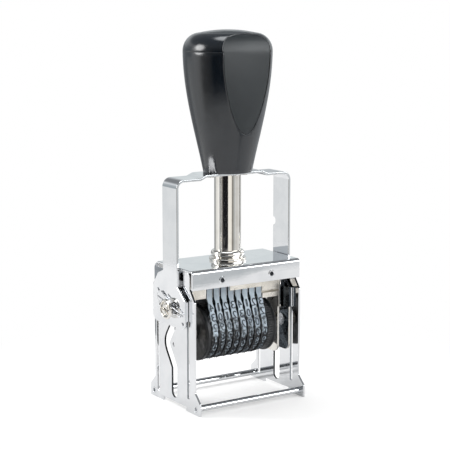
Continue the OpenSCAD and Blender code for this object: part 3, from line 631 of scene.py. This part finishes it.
# a shallow hollow on each side of the foot, that runs out upwards
def cutGrooves(body):
    reach = grip["lowR"] - grip["grooveD"] + grip["grooveR"]
    for angle in grip["grooveAngles"]:
        turn = math.radians(angle)
        bpy.ops.mesh.primitive_cylinder_add(
            vertices=96, radius=grip["grooveR"], depth=grip["grooveLong"],
            location=(reach * math.cos(turn), reach * math.sin(turn), grip["lowZ"]),
            rotation=(0, math.radians(grip["grooveLean"]), turn))
        cutter = bpy.context.object
        settle(cutter, "grooveCutter")
        cutAway(body, cutter)


def finishPanel(panel):
    panel.name = "facePanel"
    editAll(panel)
    bpy.ops.mesh.inset(thickness=grip["panelGap"], depth=0)
    bpy.ops.mesh.select_all(action="INVERT")
    bpy.ops.mesh.delete(type="FACE")
    bpy.ops.mesh.select_mode(type="EDGE")
    crease = grip["crease"]
    pickEdges(panel, lambda a, b: abs(a.z - crease) + abs(b.z - crease) < grip["near"])
    bpy.ops.mesh.mark_sharp()
    leave()
    thick = panel.modifiers.new("plate", "SOLIDIFY")
    thick.thickness = grip["panelDepth"] - grip["panelGap"]
    thick.offset = -1
    applyAll(panel)
    roundEdges(panel, grip["panelEdge"], 3, 40)
    smooth(panel, 40, keep=True)


def makeDisc():
    domeR = (grip["discR"] ** 2 + grip["discDome"] ** 2) / (2 * grip["discDome"])
    half = math.asin(grip["discR"] / domeR)
    levels = [(grip["discR"], grip["top"] - grip["discSink"])]
    for k in range(grip["discSteps"]):
        a = half * (1 - k / grip["discSteps"])
        levels.append((domeR * math.sin(a),
                       grip["top"] + grip["discDome"] - domeR * (1 - math.cos(a))))
    disc = turned("topDisc", levels, grip["sides"])
    roundEdges(disc, grip["discEdge"], 2, 40)
    smooth(disc, 40)
    return disc


def makeHandle():
    body, panel = makeGrip()
    crown = copyOf(body, "gripCrown")
    body.name = "gripBody"
    for piece, side in ((body, 1), (crown, -1)):
        editAll(piece)
        bpy.ops.mesh.bisect(plane_co=(0, 0, grip["crease"] - side * grip["joint"]),
                            plane_no=(0, 0, side), use_fill=True, clear_outer=True)
        leave()
    cutGrooves(body)
    for piece in (body, crown):
        roundEdges(piece, grip["edge"], 2, 24)
        smooth(piece, 50)
    finishPanel(panel)
    disc = makeDisc()
    hand(body, "black", "plunger", "handle_plastic", "handle_body")
    hand(crown, "black", "plunger", "handle_plastic", "handle_crown")
    hand(disc, "black", "plunger", "handle_plastic", "handle_top_disc")
    hand(panel, "panel", "plunger", "panel_plastic", "handle_front_panel")


makeHandle()
print("handle made")


# the number bands: a flat strip with raised digits, bent round the wheel and the bridge
bandShape = {
    "wheelZ": 34.3 * mm, "coreR": 12.2 * mm, "headY": 6.6 * mm, "headLowZ": 51.6 * mm,
    "headTopZ": 58.4 * mm, "headCorner": 2.2 * mm, "middle": 0.55 * mm,
    "wheelSteps": 48, "cornerSteps": 12,
    "firstX": -17.2 * mm, "pitch": 4.0 * mm, "offset": 0.75 * mm, "width": 2.95 * mm,
    "base": 0.8 * mm, "baseDrop": -0.15 * mm, "waist": 0.80, "waistPast": 3 * mm,
    "raised": 0.3 * mm, "digitLift": 0.40 * mm, "digitStep": 4.8 * mm, "digitTall": 3.7 * mm,
    "digitWide": 2.1 * mm, "slimOne": 0.42, "cutStep": 0.75 * mm, "cuts": range(-2, 3),
    "cells": 4, "topDigitZ": 47.3 * mm, "digits": 10,
    "rowDigits": (4, 1, 2, 3, 4, 1, 2, 3), "faceJump": 5,
}


# the loop's path in the YZ plane: round the wheel, up the front and over the print face
def bandPath(out):
    shape = bandShape
    radius = shape["coreR"] + out
    side = shape["headY"] + out
    corner = shape["headCorner"] + out
    top = shape["headTopZ"] + out
    rise = shape["headLowZ"] - shape["wheelZ"]
    touch = math.atan2(rise, side) - math.acos(radius / math.hypot(side, rise))
    points = [(side, shape["headLowZ"])]
    for k in range(shape["wheelSteps"] + 1):
        a = touch - (math.pi + 2 * touch) * k / shape["wheelSteps"]
        points.append((radius * math.cos(a), shape["wheelZ"] + radius * math.sin(a)))
    points.append((-side, shape["headLowZ"]))
    shoulder = []
    for k in range(shape["cornerSteps"] + 1):
        a = math.radians(90 * k / shape["cornerSteps"])
        shoulder.append((side - corner + corner * math.cos(a), top - corner + corner * math.sin(a)))
    return points + [(-y, z) for y, z in shoulder] + [(0.0, top)] + shoulder[::-1]


# how far along the path the print face's middle and the top row of digits are
def alongPath(points):
    run, marks, rowZ = 0.0, {}, bandShape["topDigitZ"]
    for a, b in zip(points, points[1:] + points[:1]):
        if a[0] < 0 and a[1] < rowZ <= b[1]:
            marks["row"] = run + math.dist(a, b) * (rowZ - a[1]) / (b[1] - a[1])
        if a[0] == 0.0:
            marks["face"] = run
        run += math.dist(a, b)
    marks["all"] = run
    return marks


def makeDigit(value):
    shape = bandShape
    bpy.ops.object.text_add(location=(0, 0, 0))
    text = bpy.context.object
    text.data.body = str(value)
    text.data.align_x = "CENTER"
    text.data.align_y = "CENTER"
    text.data.size = 1
    text.data.extrude = 0.04
    text.data.resolution_u = 3
    bpy.ops.object.convert(target="MESH")
    digit = bpy.context.object
    size = digit.dimensions
    wide = shape["digitWide"] * (shape["slimOne"] if value == 1 else 1)
    # mirrored, as on a stamp
    digit.scale = (-wide / size.x, shape["digitTall"] / size.y, shape["raised"] / size.z)
    settle(digit, f"digit{value}")
    only(digit)
    bpy.ops.object.origin_set(type="ORIGIN_GEOMETRY", center="BOUNDS")
    digit.location = (0, 0, 0)
    editAll(digit)
    bpy.ops.mesh.remove_doubles(threshold=0.004 * mm)
    # cut across, so that the digit can follow the curve of the wheel
    for k in shape["cuts"]:
        bpy.ops.mesh.select_all(action="SELECT")
        bpy.ops.mesh.bisect(plane_co=(0, k * shape["cutStep"], 0), plane_no=(0, 1, 0))
    bpy.ops.mesh.select_all(action="SELECT")
    bpy.ops.mesh.normals_make_consistent(inside=False)
    leave()
    return digit


def makeStrip(length):
    shape = bandShape
    cells = shape["cells"] * round(length / shape["digitStep"])
    bpy.ops.mesh.primitive_cube_add(size=1, location=(length / 2, shape["baseDrop"], 0),
                                    scale=(length, shape["base"], shape["width"]))
    strip = bpy.context.object
    settle(strip, "bandStrip")
    edit(strip, "EDGE")
    pickEdges(strip, lambda a, b: abs(a.x - b.x) > length / 2)
    bpy.ops.mesh.subdivide(number_cuts=cells - 1)
    leave()
    return strip, length / cells


# the sides draw in between one digit and the next, at the cut that is less than a cell away
def drawIn(band, cell, row, low, high):
    shape = bandShape
    near = 0.6 * cell / shape["digitStep"]
    edit(band, "VERT")
    form = bmesh.from_edit_mesh(band.data)
    for vert in form.verts:
        if low < vert.co.x < high:
            phase = (vert.co.x - row) / shape["digitStep"]
            vert.select_set(abs(phase % 1 - 0.5) < near)
    form.select_flush_mode()
    bmesh.update_edit_mesh(band.data)
    bpy.ops.transform.resize(value=(1, 1, shape["waist"]), center_override=(0, 0, 0))
    leave()


def makeBand(number, strip, cell, digits, track, marks):
    shape = bandShape
    band = copyOf(strip, f"band{number}")
    first = shape["rowDigits"][number - 1]
    places = [(marks["row"] - j * shape["digitStep"], (first - j) % 10)
              for j in range(shape["digits"])]
    drawIn(band, cell, marks["row"], places[-1][0] - shape["waistPast"],
           places[0][0] + shape["waistPast"])
    places.append((marks["face"], (first + shape["faceJump"]) % 10))
    dress(band, finishes["band"])
    giveFaces(band, "digit", lambda middle, normal: abs(normal.z) > 0.7)
    raised = []
    for place, value in places:
        mark = copyOf(digits[value], "mark")
        # lying on the strip's outer side, its foot towards the start of the strip
        mark.data.transform(Matrix(((0, 1, 0, place), (0, 0, 1, shape["digitLift"]),
                                    (1, 0, 0, 0), (0, 0, 0, 1))))
        dress(mark, finishes["digit"])
        raised.append(mark)
    joined([band] + raised)
    bend = band.modifiers.new("loop", "CURVE")
    bend.object = track
    bend.deform_axis = "POS_X"
    applyAll(band)
    return band


def makeTrack(points):
    line = bpy.data.curves.new("bandTrack", "CURVE")
    line.dimensions = "2D"
    spline = line.splines.new("POLY")
    spline.points.add(len(points) - 1)
    for point, (y, z) in zip(spline.points, points):
        point.co = (y, z, 0, 1)
    spline.use_cyclic_u = True
    track = bpy.data.objects.new("bandTrack", line)
    bpy.context.scene.collection.objects.link(track)
    return track


def makeBands():
    shape = bandShape
    points = bandPath(shape["middle"])
    marks = alongPath(points)
    track = makeTrack(points)
    digits = [makeDigit(value) for value in range(10)]
    strip, cell = makeStrip(marks["all"])
    for number in range(1, len(shape["rowDigits"]) + 1):
        band = makeBand(number, strip, cell, digits, track, marks)
        x = shape["firstX"] + (number - 1) * shape["pitch"] + shape["offset"] + shape["width"] / 2
        layAcross(band, f"numberBand{number}", x)
        weld(band, 0.002 * mm)
        smooth(band, 30)
        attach(band, "number_unit")
        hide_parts(f"band_{number}")
    for spare in digits + [strip, track]:
        bpy.data.objects.remove(spare)


makeBands()
print("bands made")


# the stem collar: a thin flange, a groove and a rounded bead, in millimetres
collar = {
    "bore": 6.38, "foot": 67.6, "high": 5.0, "sides": 112,
    "levels": [(8.9, 0), (8.9, 0.95), (8.8, 1.2), (8.55, 1.35), (7.6, 1.45), (7.35, 1.75),
               (7.5, 2.1), (7.85, 2.5), (8.0, 3.05), (8.0, 3.65), (7.86, 4.2), (7.5, 4.7),
               (7.0, 4.95), (6.6, 5.0)],
}


def makeCollar():
    bore, high = collar["bore"], collar["high"]
    levels = [(radius, collar["foot"] + height)
              for radius, height in [(bore, 0)] + collar["levels"] + [(bore, high), (bore, 0)]]
    ring = turned("stemCollar", inMetres(levels), collar["sides"], caps=False)
    weld(ring, 0.005 * mm)
    faceOut(ring)
    smooth(ring, 50)
    hand(ring, "nickel", "frame", "nickel_plate", "stem_collar")


def makeReturnCoil():
    coil = solidCopy("return_spring", "returnCoil")
    smooth(coil, 60)
    hand(coil, "wire", "frame", "spring_steel", "return_spring")
    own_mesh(coil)


makeCollar()
makeReturnCoil()
print("collar and return spring made")


# where the slots of the side plates lie, in millimetres, so that their walls can take the painted
# shade
slotReach = {"y": (-16.2, 16.2), "z": (3.6, 60.0)}


def inSlot(middle, normal):
    (nearY, farY), (lowZ, highZ) = ([edge * mm for edge in slotReach[key]] for key in "yz")
    return abs(normal.x) < 0.8 and nearY < middle.y < farY and lowZ < middle.z < highZ


def facesPlate(middle, normal):
    return normal.x * middle.x > 0 and abs(normal.x) > 0.9


# sheet metal and the print bridge: copies of the solids, their cut edges rounded in millimetres
sheets = {
    "yoke": {"piece": "handleYoke", "edge": 0.3, "finish": "plated", "body": "plunger",
             "slot": "plated_steel"},
    "cover": {"piece": "frameCover", "edge": 0.28, "finish": "plated", "body": "frame",
              "slot": "plated_steel"},
    # the walls of the plates' slots take the dark slot finish: painted shade
    "left_side_plate": {"piece": "leftPlate", "edge": 0.16, "finish": "plated", "body": "frame",
                        "slot": "plated_steel", "second": ("slot", inSlot)},
    "right_side_plate": {"piece": "rightPlate", "edge": 0.16, "finish": "plated",
                         "body": "frame", "slot": "plated_steel", "second": ("slot", inSlot)},
    # the cheeks' sides that face the side plates take the dark blued finish as painted shade
    "left_cheek": {"piece": "leftCheek", "edge": 0.2, "finish": "nickel", "body": "number_unit",
                   "slot": "nickel_plate", "second": ("bluedAndShade", facesPlate)},
    "right_cheek": {"piece": "rightCheek", "edge": 0.2, "finish": "nickel",
                    "body": "number_unit", "slot": "nickel_plate",
                    "second": ("bluedAndShade", facesPlate)},
    "print_bridge": {"piece": "printBridge", "edge": 0.25, "finish": "satin",
                     "body": "number_unit", "slot": "nickel_plate"},
}


def softened(node, sheet):
    piece = solidCopy(node, sheet["piece"])
    editAll(piece, "VERT")
    bpy.ops.mesh.remove_doubles(threshold=0.002 * mm)
    bpy.ops.mesh.dissolve_limited(angle_limit=math.radians(0.4))
    leave()
    roundEdges(piece, sheet["edge"] * mm, 3, 32)
    smooth(piece, 40)
    weighNormals(piece)
    hand(piece, sheet["finish"], sheet["body"], sheet["slot"], node)
    if "second" in sheet:
        giveFaces(piece, *sheet["second"])


for sheetNode, sheetFacts in sheets.items():
    softened(sheetNode, sheetFacts)
print("sheet metal made")


# the dark web below the print bridge, between the two sides of the bands, in millimetres
web = {"x": -0.4, "long": 33.6, "deep": 3.4, "low": 47.95, "top": 52.2, "edge": 0.4}


def makeWeb():
    size = (web["long"] * mm, web["deep"] * mm, (web["top"] - web["low"]) * mm)
    middle = (web["x"] * mm, 0, (web["low"] + web["top"]) / 2 * mm)
    bpy.ops.mesh.primitive_cube_add(size=1, location=middle, scale=size)
    rail = bpy.context.object
    settle(rail, "bandGuideWeb")
    roundEdges(rail, web["edge"] * mm, 3)
    smooth(rail, 40)
    hand(rail, "wheel", "number_unit", "nickel_plate")


makeWeb()
print("web made")


# the spring posts, in millimetres: a slotted head in a dished ring, the coil behind it and the
# straight legs, each from one end to the other
post = {
    "axisZ": 47.5, "foot": 32.2, "sides": 72, "edge": 0.08,
    "levels": [(1.6, -1.1), (1.6, 1.3), (4.4, 1.3), (4.8, 1.6), (4.9, 2.1), (4.8, 2.6),
               (4.4, 2.9), (4.0, 2.95), (3.7, 2.75), (3.5, 1.9), (2.7, 1.7), (2.6, 2.9),
               (2.4, 3.1)],
    "slot": (6.2, 1.3, 2.0), "slotLow": 1.5, "slotTilt": 14,
    "coilR": 2.5, "coilAt": (0.45, 1.0), "wire": 0.3, "legEdge": 0.1,
    "legs": [((7.2, 7.2, 0.4), (-1.6, 2.6, 0.4)), ((6.4, 5.3, 2.8), (-12.4, -0.9, 0.7)),
             ((1.6, -0.6, 2.2), (-10.6, -1.9, 0.6))],
}


# from a shape about the Z axis to one that stands out of the right or left wing
def standOut(obj, side, name):
    layAcross(obj, name, side * post["foot"] * mm, post["axisZ"] * mm, side)
    faceOut(obj)


def makePost(side, name):
    head = turned("postHead", inMetres(post["levels"]), post["sides"])
    long, wide, deep = post["slot"]
    bpy.ops.mesh.primitive_cube_add(size=1, location=(0, 0, (post["slotLow"] + deep / 2) * mm),
                                    rotation=(0, 0, math.radians(post["slotTilt"])),
                                    scale=(long * mm, wide * mm, deep * mm))
    cutter = bpy.context.object
    settle(cutter, "slotCutter")
    cutAway(head, cutter)
    roundEdges(head, post["edge"] * mm, 2, 40)
    standOut(head, side, name)
    smooth(head, 35)
    return head


def makeCoil(side, name):
    thick = post["wire"] * mm
    parts = []
    for height in post["coilAt"]:
        bpy.ops.mesh.primitive_torus_add(location=(0, 0, height * mm),
                                         major_radius=post["coilR"] * mm, minor_radius=thick,
                                         major_segments=64, minor_segments=12)
        parts.append(bpy.context.object)
    for ends in post["legs"]:
        start, end = (Vector(point) * mm for point in ends)
        way = end - start
        bpy.ops.mesh.primitive_cylinder_add(vertices=16, radius=thick, depth=way.length,
                                            location=(start + end) / 2,
                                            rotation=way.to_track_quat("Z", "Y").to_euler())
        leg = bpy.context.object
        settle(leg, "springLeg")
        roundEdges(leg, post["legEdge"] * mm, 2, 60)
        parts.append(leg)
    coil = joined(parts)
    settle(coil, name)
    standOut(coil, side, name)
    smooth(coil, 40)
    return coil


for wingSide, wing in ((-1, "left"), (1, "right")):
    hand(makePost(wingSide, wing + "SpringPost"), "nickel", "plunger", "nickel_plate",
         "spring_posts")
    hand(makeCoil(wingSide, wing + "TorsionSpring"), "wire", "plunger", "spring_steel",
         "torsion_springs")
print("spring posts made")


# the end drum with its setting rim, and the sunk screws of the cover's front, in millimetres
drum = {
    "foot": 14.9, "axisZ": 34.3, "bore": 2.65, "high": 4.4, "sides": 128,
    "levels": [(12.6, 0), (12.9, 0.3), (12.9, 3.2), (13.1, 3.5), (13.45, 3.7), (13.6, 4.05),
               (13.55, 4.5), (13.2, 4.85), (12.4, 5.05), (11.0, 5.1), (10.2, 4.9), (9.6, 4.5),
               (5.0, 4.4)],
}
sunkScrew = {
    "x": 13.9, "z": 62.0, "front": -17.0, "sides": 48, "centreR": 1.1,
    "levels": [(0.8, -2.2), (1.75, -2.0), (1.75, 0.12), (1.55, 0.3), (1.2, 0.3), (1.0, 0.12)],
}


def makeDrum():
    bore, high = drum["bore"], drum["high"]
    levels = [(bore, 0)] + drum["levels"] + [(bore, high), (bore, 0)]
    body = turned("endDrum", inMetres(levels), drum["sides"], caps=False)
    weld(body, 0.003 * mm)
    layAcross(body, "endDrum", drum["foot"] * mm, drum["axisZ"] * mm)
    faceOut(body)
    smooth(body, 40)
    hand(body, "wheel", "number_unit", "wheel_plastic", "end_drum")
    giveFaces(body, "ribbed", lambda middle, normal: abs(normal.x) < 0.3)


def makeSunkScrew(side, name):
    screw = turned(name, inMetres(sunkScrew["levels"]), sunkScrew["sides"])
    x, z = side * sunkScrew["x"] * mm, sunkScrew["z"] * mm
    screw.matrix_world = Matrix(((1, 0, 0, x), (0, 0, -1, sunkScrew["front"] * mm),
                                 (0, 1, 0, z), (0, 0, 0, 1)))
    settle(screw, name)
    faceOut(screw)
    smooth(screw, 30)
    hand(screw, "plated", "frame", "nickel_plate", "cover_screws")
    # the dished middle of the head takes the dark slot finish: painted shade
    giveFaces(screw, "slot", lambda middle, normal: normal.y < -0.9 and
              math.hypot(middle.x - x, middle.z - z) < sunkScrew["centreR"] * mm)


makeDrum()
makeSunkScrew(-1, "leftSunkScrew")
makeSunkScrew(1, "rightSunkScrew")
print("drum and screws made")


view = {
    "eye": (-348.5 * mm, -535.2 * mm, 191.7 * mm), "turn": 32.96, "dip": 9.55, "lens": 108.53,
    "sensor": 36, "clip": (0.01, 50),
}
# The floor's values in metres are spans of the way from the middle. White paper shows beyond
# the shadow at the feet, and polished metal sees the paper a little brighter than it is lit, up
# to where the paper ends for it: far out, and ahead of the right side.
floorLook = {
    "size": 12, "rough": 0.9, "grey": 0.66, "lift": 0.38, "shadow": (0.06, 0.16),
    "glint": (0.07, 0.13), "glintNear": 0.12, "glintFar": 0.02,
    "end": (0.335, 0.385), "ahead": (-0.3845, -0.9231), "aheadEnd": (0.1835, 0.1865),
    "aheadFromX": (0.03, 0.07),
}


def setCamera():
    data = bpy.data.cameras.new("camera")
    data.lens = view["lens"]
    data.sensor_width = view["sensor"]
    data.clip_start, data.clip_end = view["clip"]
    camera = bpy.data.objects.new("camera", data)
    bpy.context.scene.collection.objects.link(camera)
    camera.location = view["eye"]
    camera.rotation_euler = (math.radians(90 - view["dip"]), 0, math.radians(-view["turn"]))
    bpy.context.scene.camera = camera


def paperFinish():
    look = floorLook
    f = Finish("floorPaper")
    f.fixed(Base_Color=shade(look["grey"], look["grey"], look["grey"]), Roughness=look["rough"],
            Specular_IOR_Level=0.0)
    seen = f.node("ShaderNodeLightPath", output="Is Camera Ray")
    glossy = f.node("ShaderNodeLightPath", output="Is Glossy Ray")
    lit = Wire(f, f.shader.outputs[0])
    east, north = f.axis("X"), f.axis("Y")
    reach = f.node("ShaderNodeVectorMath", {"operation": "LENGTH"}, [f.place()], output="Value")
    near = f.node("ShaderNodeAddShader", None, [lit, f.glow(look["lift"])])
    shown = f.node("ShaderNodeMixShader", None, [f.span(reach, *look["shadow"]), near, f.glow(1.0)])
    extra = f.glow(f.span(reach, *look["glint"], look["glintNear"], look["glintFar"]))
    brighter = f.node("ShaderNodeAddShader", None, [lit, extra])
    mirrored = f.node("ShaderNodeMixShader", None, [glossy, lit, brighter])
    plain = f.node("ShaderNodeMixShader", None, [seen, mirrored, shown])
    ahead = east * look["ahead"][0] + north * look["ahead"][1]
    aheadGone = f.span(ahead, *look["aheadEnd"]) * f.span(east, *look["aheadFromX"])
    gone = f.node("ShaderNodeMath", {"operation": "MAXIMUM"},
                  [f.span(reach, *look["end"]), aheadGone])
    whole = f.node("ShaderNodeMixShader", None,
                   [gone * glossy, plain, f.node("ShaderNodeBsdfTransparent")])
    f.tree.links.new(whole.socket, f.output.inputs["Surface"])
    return f.owner


def setFloor():
    bpy.ops.mesh.primitive_plane_add(size=floorLook["size"], location=(0, 0, 0))
    floor = bpy.context.object
    floor.name = "studioFloor"
    dress(floor, paperFinish())


# What polished metal sees all round: bright screens and dark gaps, by the angle in degrees from
# the camera's side. There are four rings of them, from low to top.
screens = {
    "low": [
        (-180, (0.30, 0.31, 0.32)), (-134, (0.26, 0.27, 0.28)), (-122, (0.76, 0.78, 0.79)),
        (-116, (0.81, 0.82, 0.82)), (-102, (0.82, 0.83, 0.83)), (-95, (0.99, 1.0, 1.0)),
        (-78, (0.99, 0.99, 0.98)), (-70, (0.30, 0.28, 0.25)), (-44, (0.16, 0.15, 0.14)),
        (-39, (0.012, 0.012, 0.014)), (3, (0.012, 0.012, 0.014)), (7, (1.04, 1.02, 0.97)),
        (34, (0.94, 0.92, 0.88)), (40, (0.24, 0.23, 0.21)), (50, (0.26, 0.26, 0.25)),
        (56, (0.54, 0.56, 0.57)), (67.5, (0.54, 0.56, 0.57)), (71, (0.74, 0.75, 0.76)),
        (90, (0.62, 0.62, 0.61)), (104, (0.80, 0.81, 0.82)), (134, (0.60, 0.62, 0.64)),
        (180, (0.30, 0.31, 0.32)),
    ],
    "middle": [
        (-180, (0.50, 0.53, 0.55)), (-150, (0.32, 0.34, 0.36)), (-124, (0.34, 0.37, 0.39)),
        (-110, (0.44, 0.48, 0.50)), (-98, (0.98, 0.99, 0.99)), (-76, (0.98, 0.98, 0.96)),
        (-70, (0.30, 0.28, 0.25)), (-44, (0.16, 0.15, 0.14)), (-39, (0.012, 0.012, 0.014)),
        (3, (0.012, 0.012, 0.014)), (7, (0.98, 0.95, 0.89)), (34, (0.90, 0.87, 0.82)),
        (39, (0.32, 0.30, 0.27)), (58, (0.36, 0.34, 0.31)), (66, (0.70, 0.69, 0.67)),
        (130, (0.84, 0.84, 0.84)), (142, (0.66, 0.68, 0.70)), (180, (0.50, 0.53, 0.55)),
    ],
    "high": [
        (-180, (0.71, 0.755, 0.765)), (-150, (0.66, 0.69, 0.71)), (-112, (0.45, 0.48, 0.50)),
        (-98, (1.0, 1.0, 1.0)), (-76, (1.0, 0.99, 0.97)), (-62, (0.10, 0.10, 0.10)),
        (28, (0.10, 0.10, 0.10)), (40, (0.9, 0.9, 0.9)), (48, (6.6, 6.8, 6.9)),
        (84, (6.6, 6.8, 6.9)), (98, (0.9, 0.9, 0.9)), (140, (0.66, 0.68, 0.70)),
        (180, (0.71, 0.755, 0.765)),
    ],
    "top": [
        (-180, (0.19, 0.20, 0.21)), (-168, (0.55, 0.57, 0.59)), (-156, (0.82, 0.84, 0.86)),
        (-112, (0.70, 0.72, 0.74)), (-98, (0.9, 0.9, 0.9)), (-76, (0.9, 0.9, 0.88)),
        (-62, (0.10, 0.10, 0.10)), (28, (0.10, 0.10, 0.10)), (40, (0.9, 0.9, 0.9)),
        (48, (6.6, 6.8, 6.9)), (84, (6.6, 6.8, 6.9)), (98, (0.9, 0.9, 0.9)),
        (118, (0.10, 0.11, 0.12)), (168, (0.10, 0.11, 0.12)), (180, (0.19, 0.20, 0.21)),
    ],
}
# where each ring begins, by how far upwards one looks, then the dusk above them and the roof
air = {
    "middle": (-0.11, -0.05), "high": (0.10, 0.16), "top": (0.24, 0.30), "above": (0.34, 0.50),
    "dusk": shade(0.24, 0.25, 0.26), "roof": shade(4.2, 4.3, 4.4), "roofFrom": (0.93, 0.97),
    "fill": shade(0.62, 0.62, 0.62), "white": shade(1, 1, 1),
}


def setWorld():
    f = Finish("studioAir", world=True)
    sky = f.node("ShaderNodeTexCoord", output="Generated")
    east, north, upward = (f.axis(letter, sky) for letter in "XYZ")
    # turned so that the camera's own side is the middle of each ramp
    facing = math.atan2(view["eye"][1], view["eye"][0])
    along = east * math.cos(facing) + north * math.sin(facing)
    across = north * math.cos(facing) - east * math.sin(facing)
    turn = f.node("ShaderNodeMath", {"operation": "ARCTAN2"}, [across, along])
    part = turn / (2 * math.pi) + 0.5
    rings = {}
    for name, ring in screens.items():
        stops = [((angle + 180) / 360, colour) for angle, colour in ring]
        rings[name] = f.node("ShaderNodeValToRGB", {"stops": stops}, [part])
    seen = rings["low"]
    for name in ("middle", "high", "top"):
        seen = f.mixed(f.span(upward, *air[name]), seen, rings[name])
    over = f.mixed(f.span(upward, *air["roofFrom"]), air["dusk"], air["roof"])
    mirrored = f.mixed(f.span(upward, *air["above"]), seen, over)
    camera = f.node("ShaderNodeLightPath", output="Is Camera Ray")
    glossy = f.node("ShaderNodeLightPath", output="Is Glossy Ray")
    light = f.mixed(glossy, f.mixed(camera, air["fill"], air["white"]), mirrored)
    f.tree.links.new(light.socket, f.tree.nodes["Background"].inputs["Color"])
    bpy.context.scene.world = f.owner


lampAim = (0, 0, 0.09)
lamps = {
    "keyLamp": {"from": (-0.62, 0.66, 0.94), "size": 0.42, "power": 7.0},
    # only for the glint on the handle, while the others only light
    "glintLamp": {"from": (-0.83, 0.34, 0.47), "size": 0.46, "power": 3.6, "glint": True},
    "fillLamp": {"from": (0.65, -0.75, 0.55), "size": 0.7, "power": 3.5},
    "topLamp": {"from": (0.05, 0.15, 1.05), "size": 0.6, "power": 4.0},
}


def setLamps():
    for name, lamp in lamps.items():
        data = bpy.data.lights.new(name, "AREA")
        data.shape = "DISK"
        data.size = lamp["size"]
        data.energy = lamp["power"]
        obj = bpy.data.objects.new(name, data)
        bpy.context.scene.collection.objects.link(obj)
        obj.location = lamp["from"]
        way = Vector(lampAim) - Vector(lamp["from"])
        obj.rotation_euler = way.to_track_quat("-Z", "Y").to_euler()
        obj.visible_glossy = lamp.get("glint", False)
        obj.visible_diffuse = not obj.visible_glossy


setCamera()
setFloor()
setWorld()
setLamps()
bpy.context.scene.view_settings.view_transform = "Standard"
print("studio set")
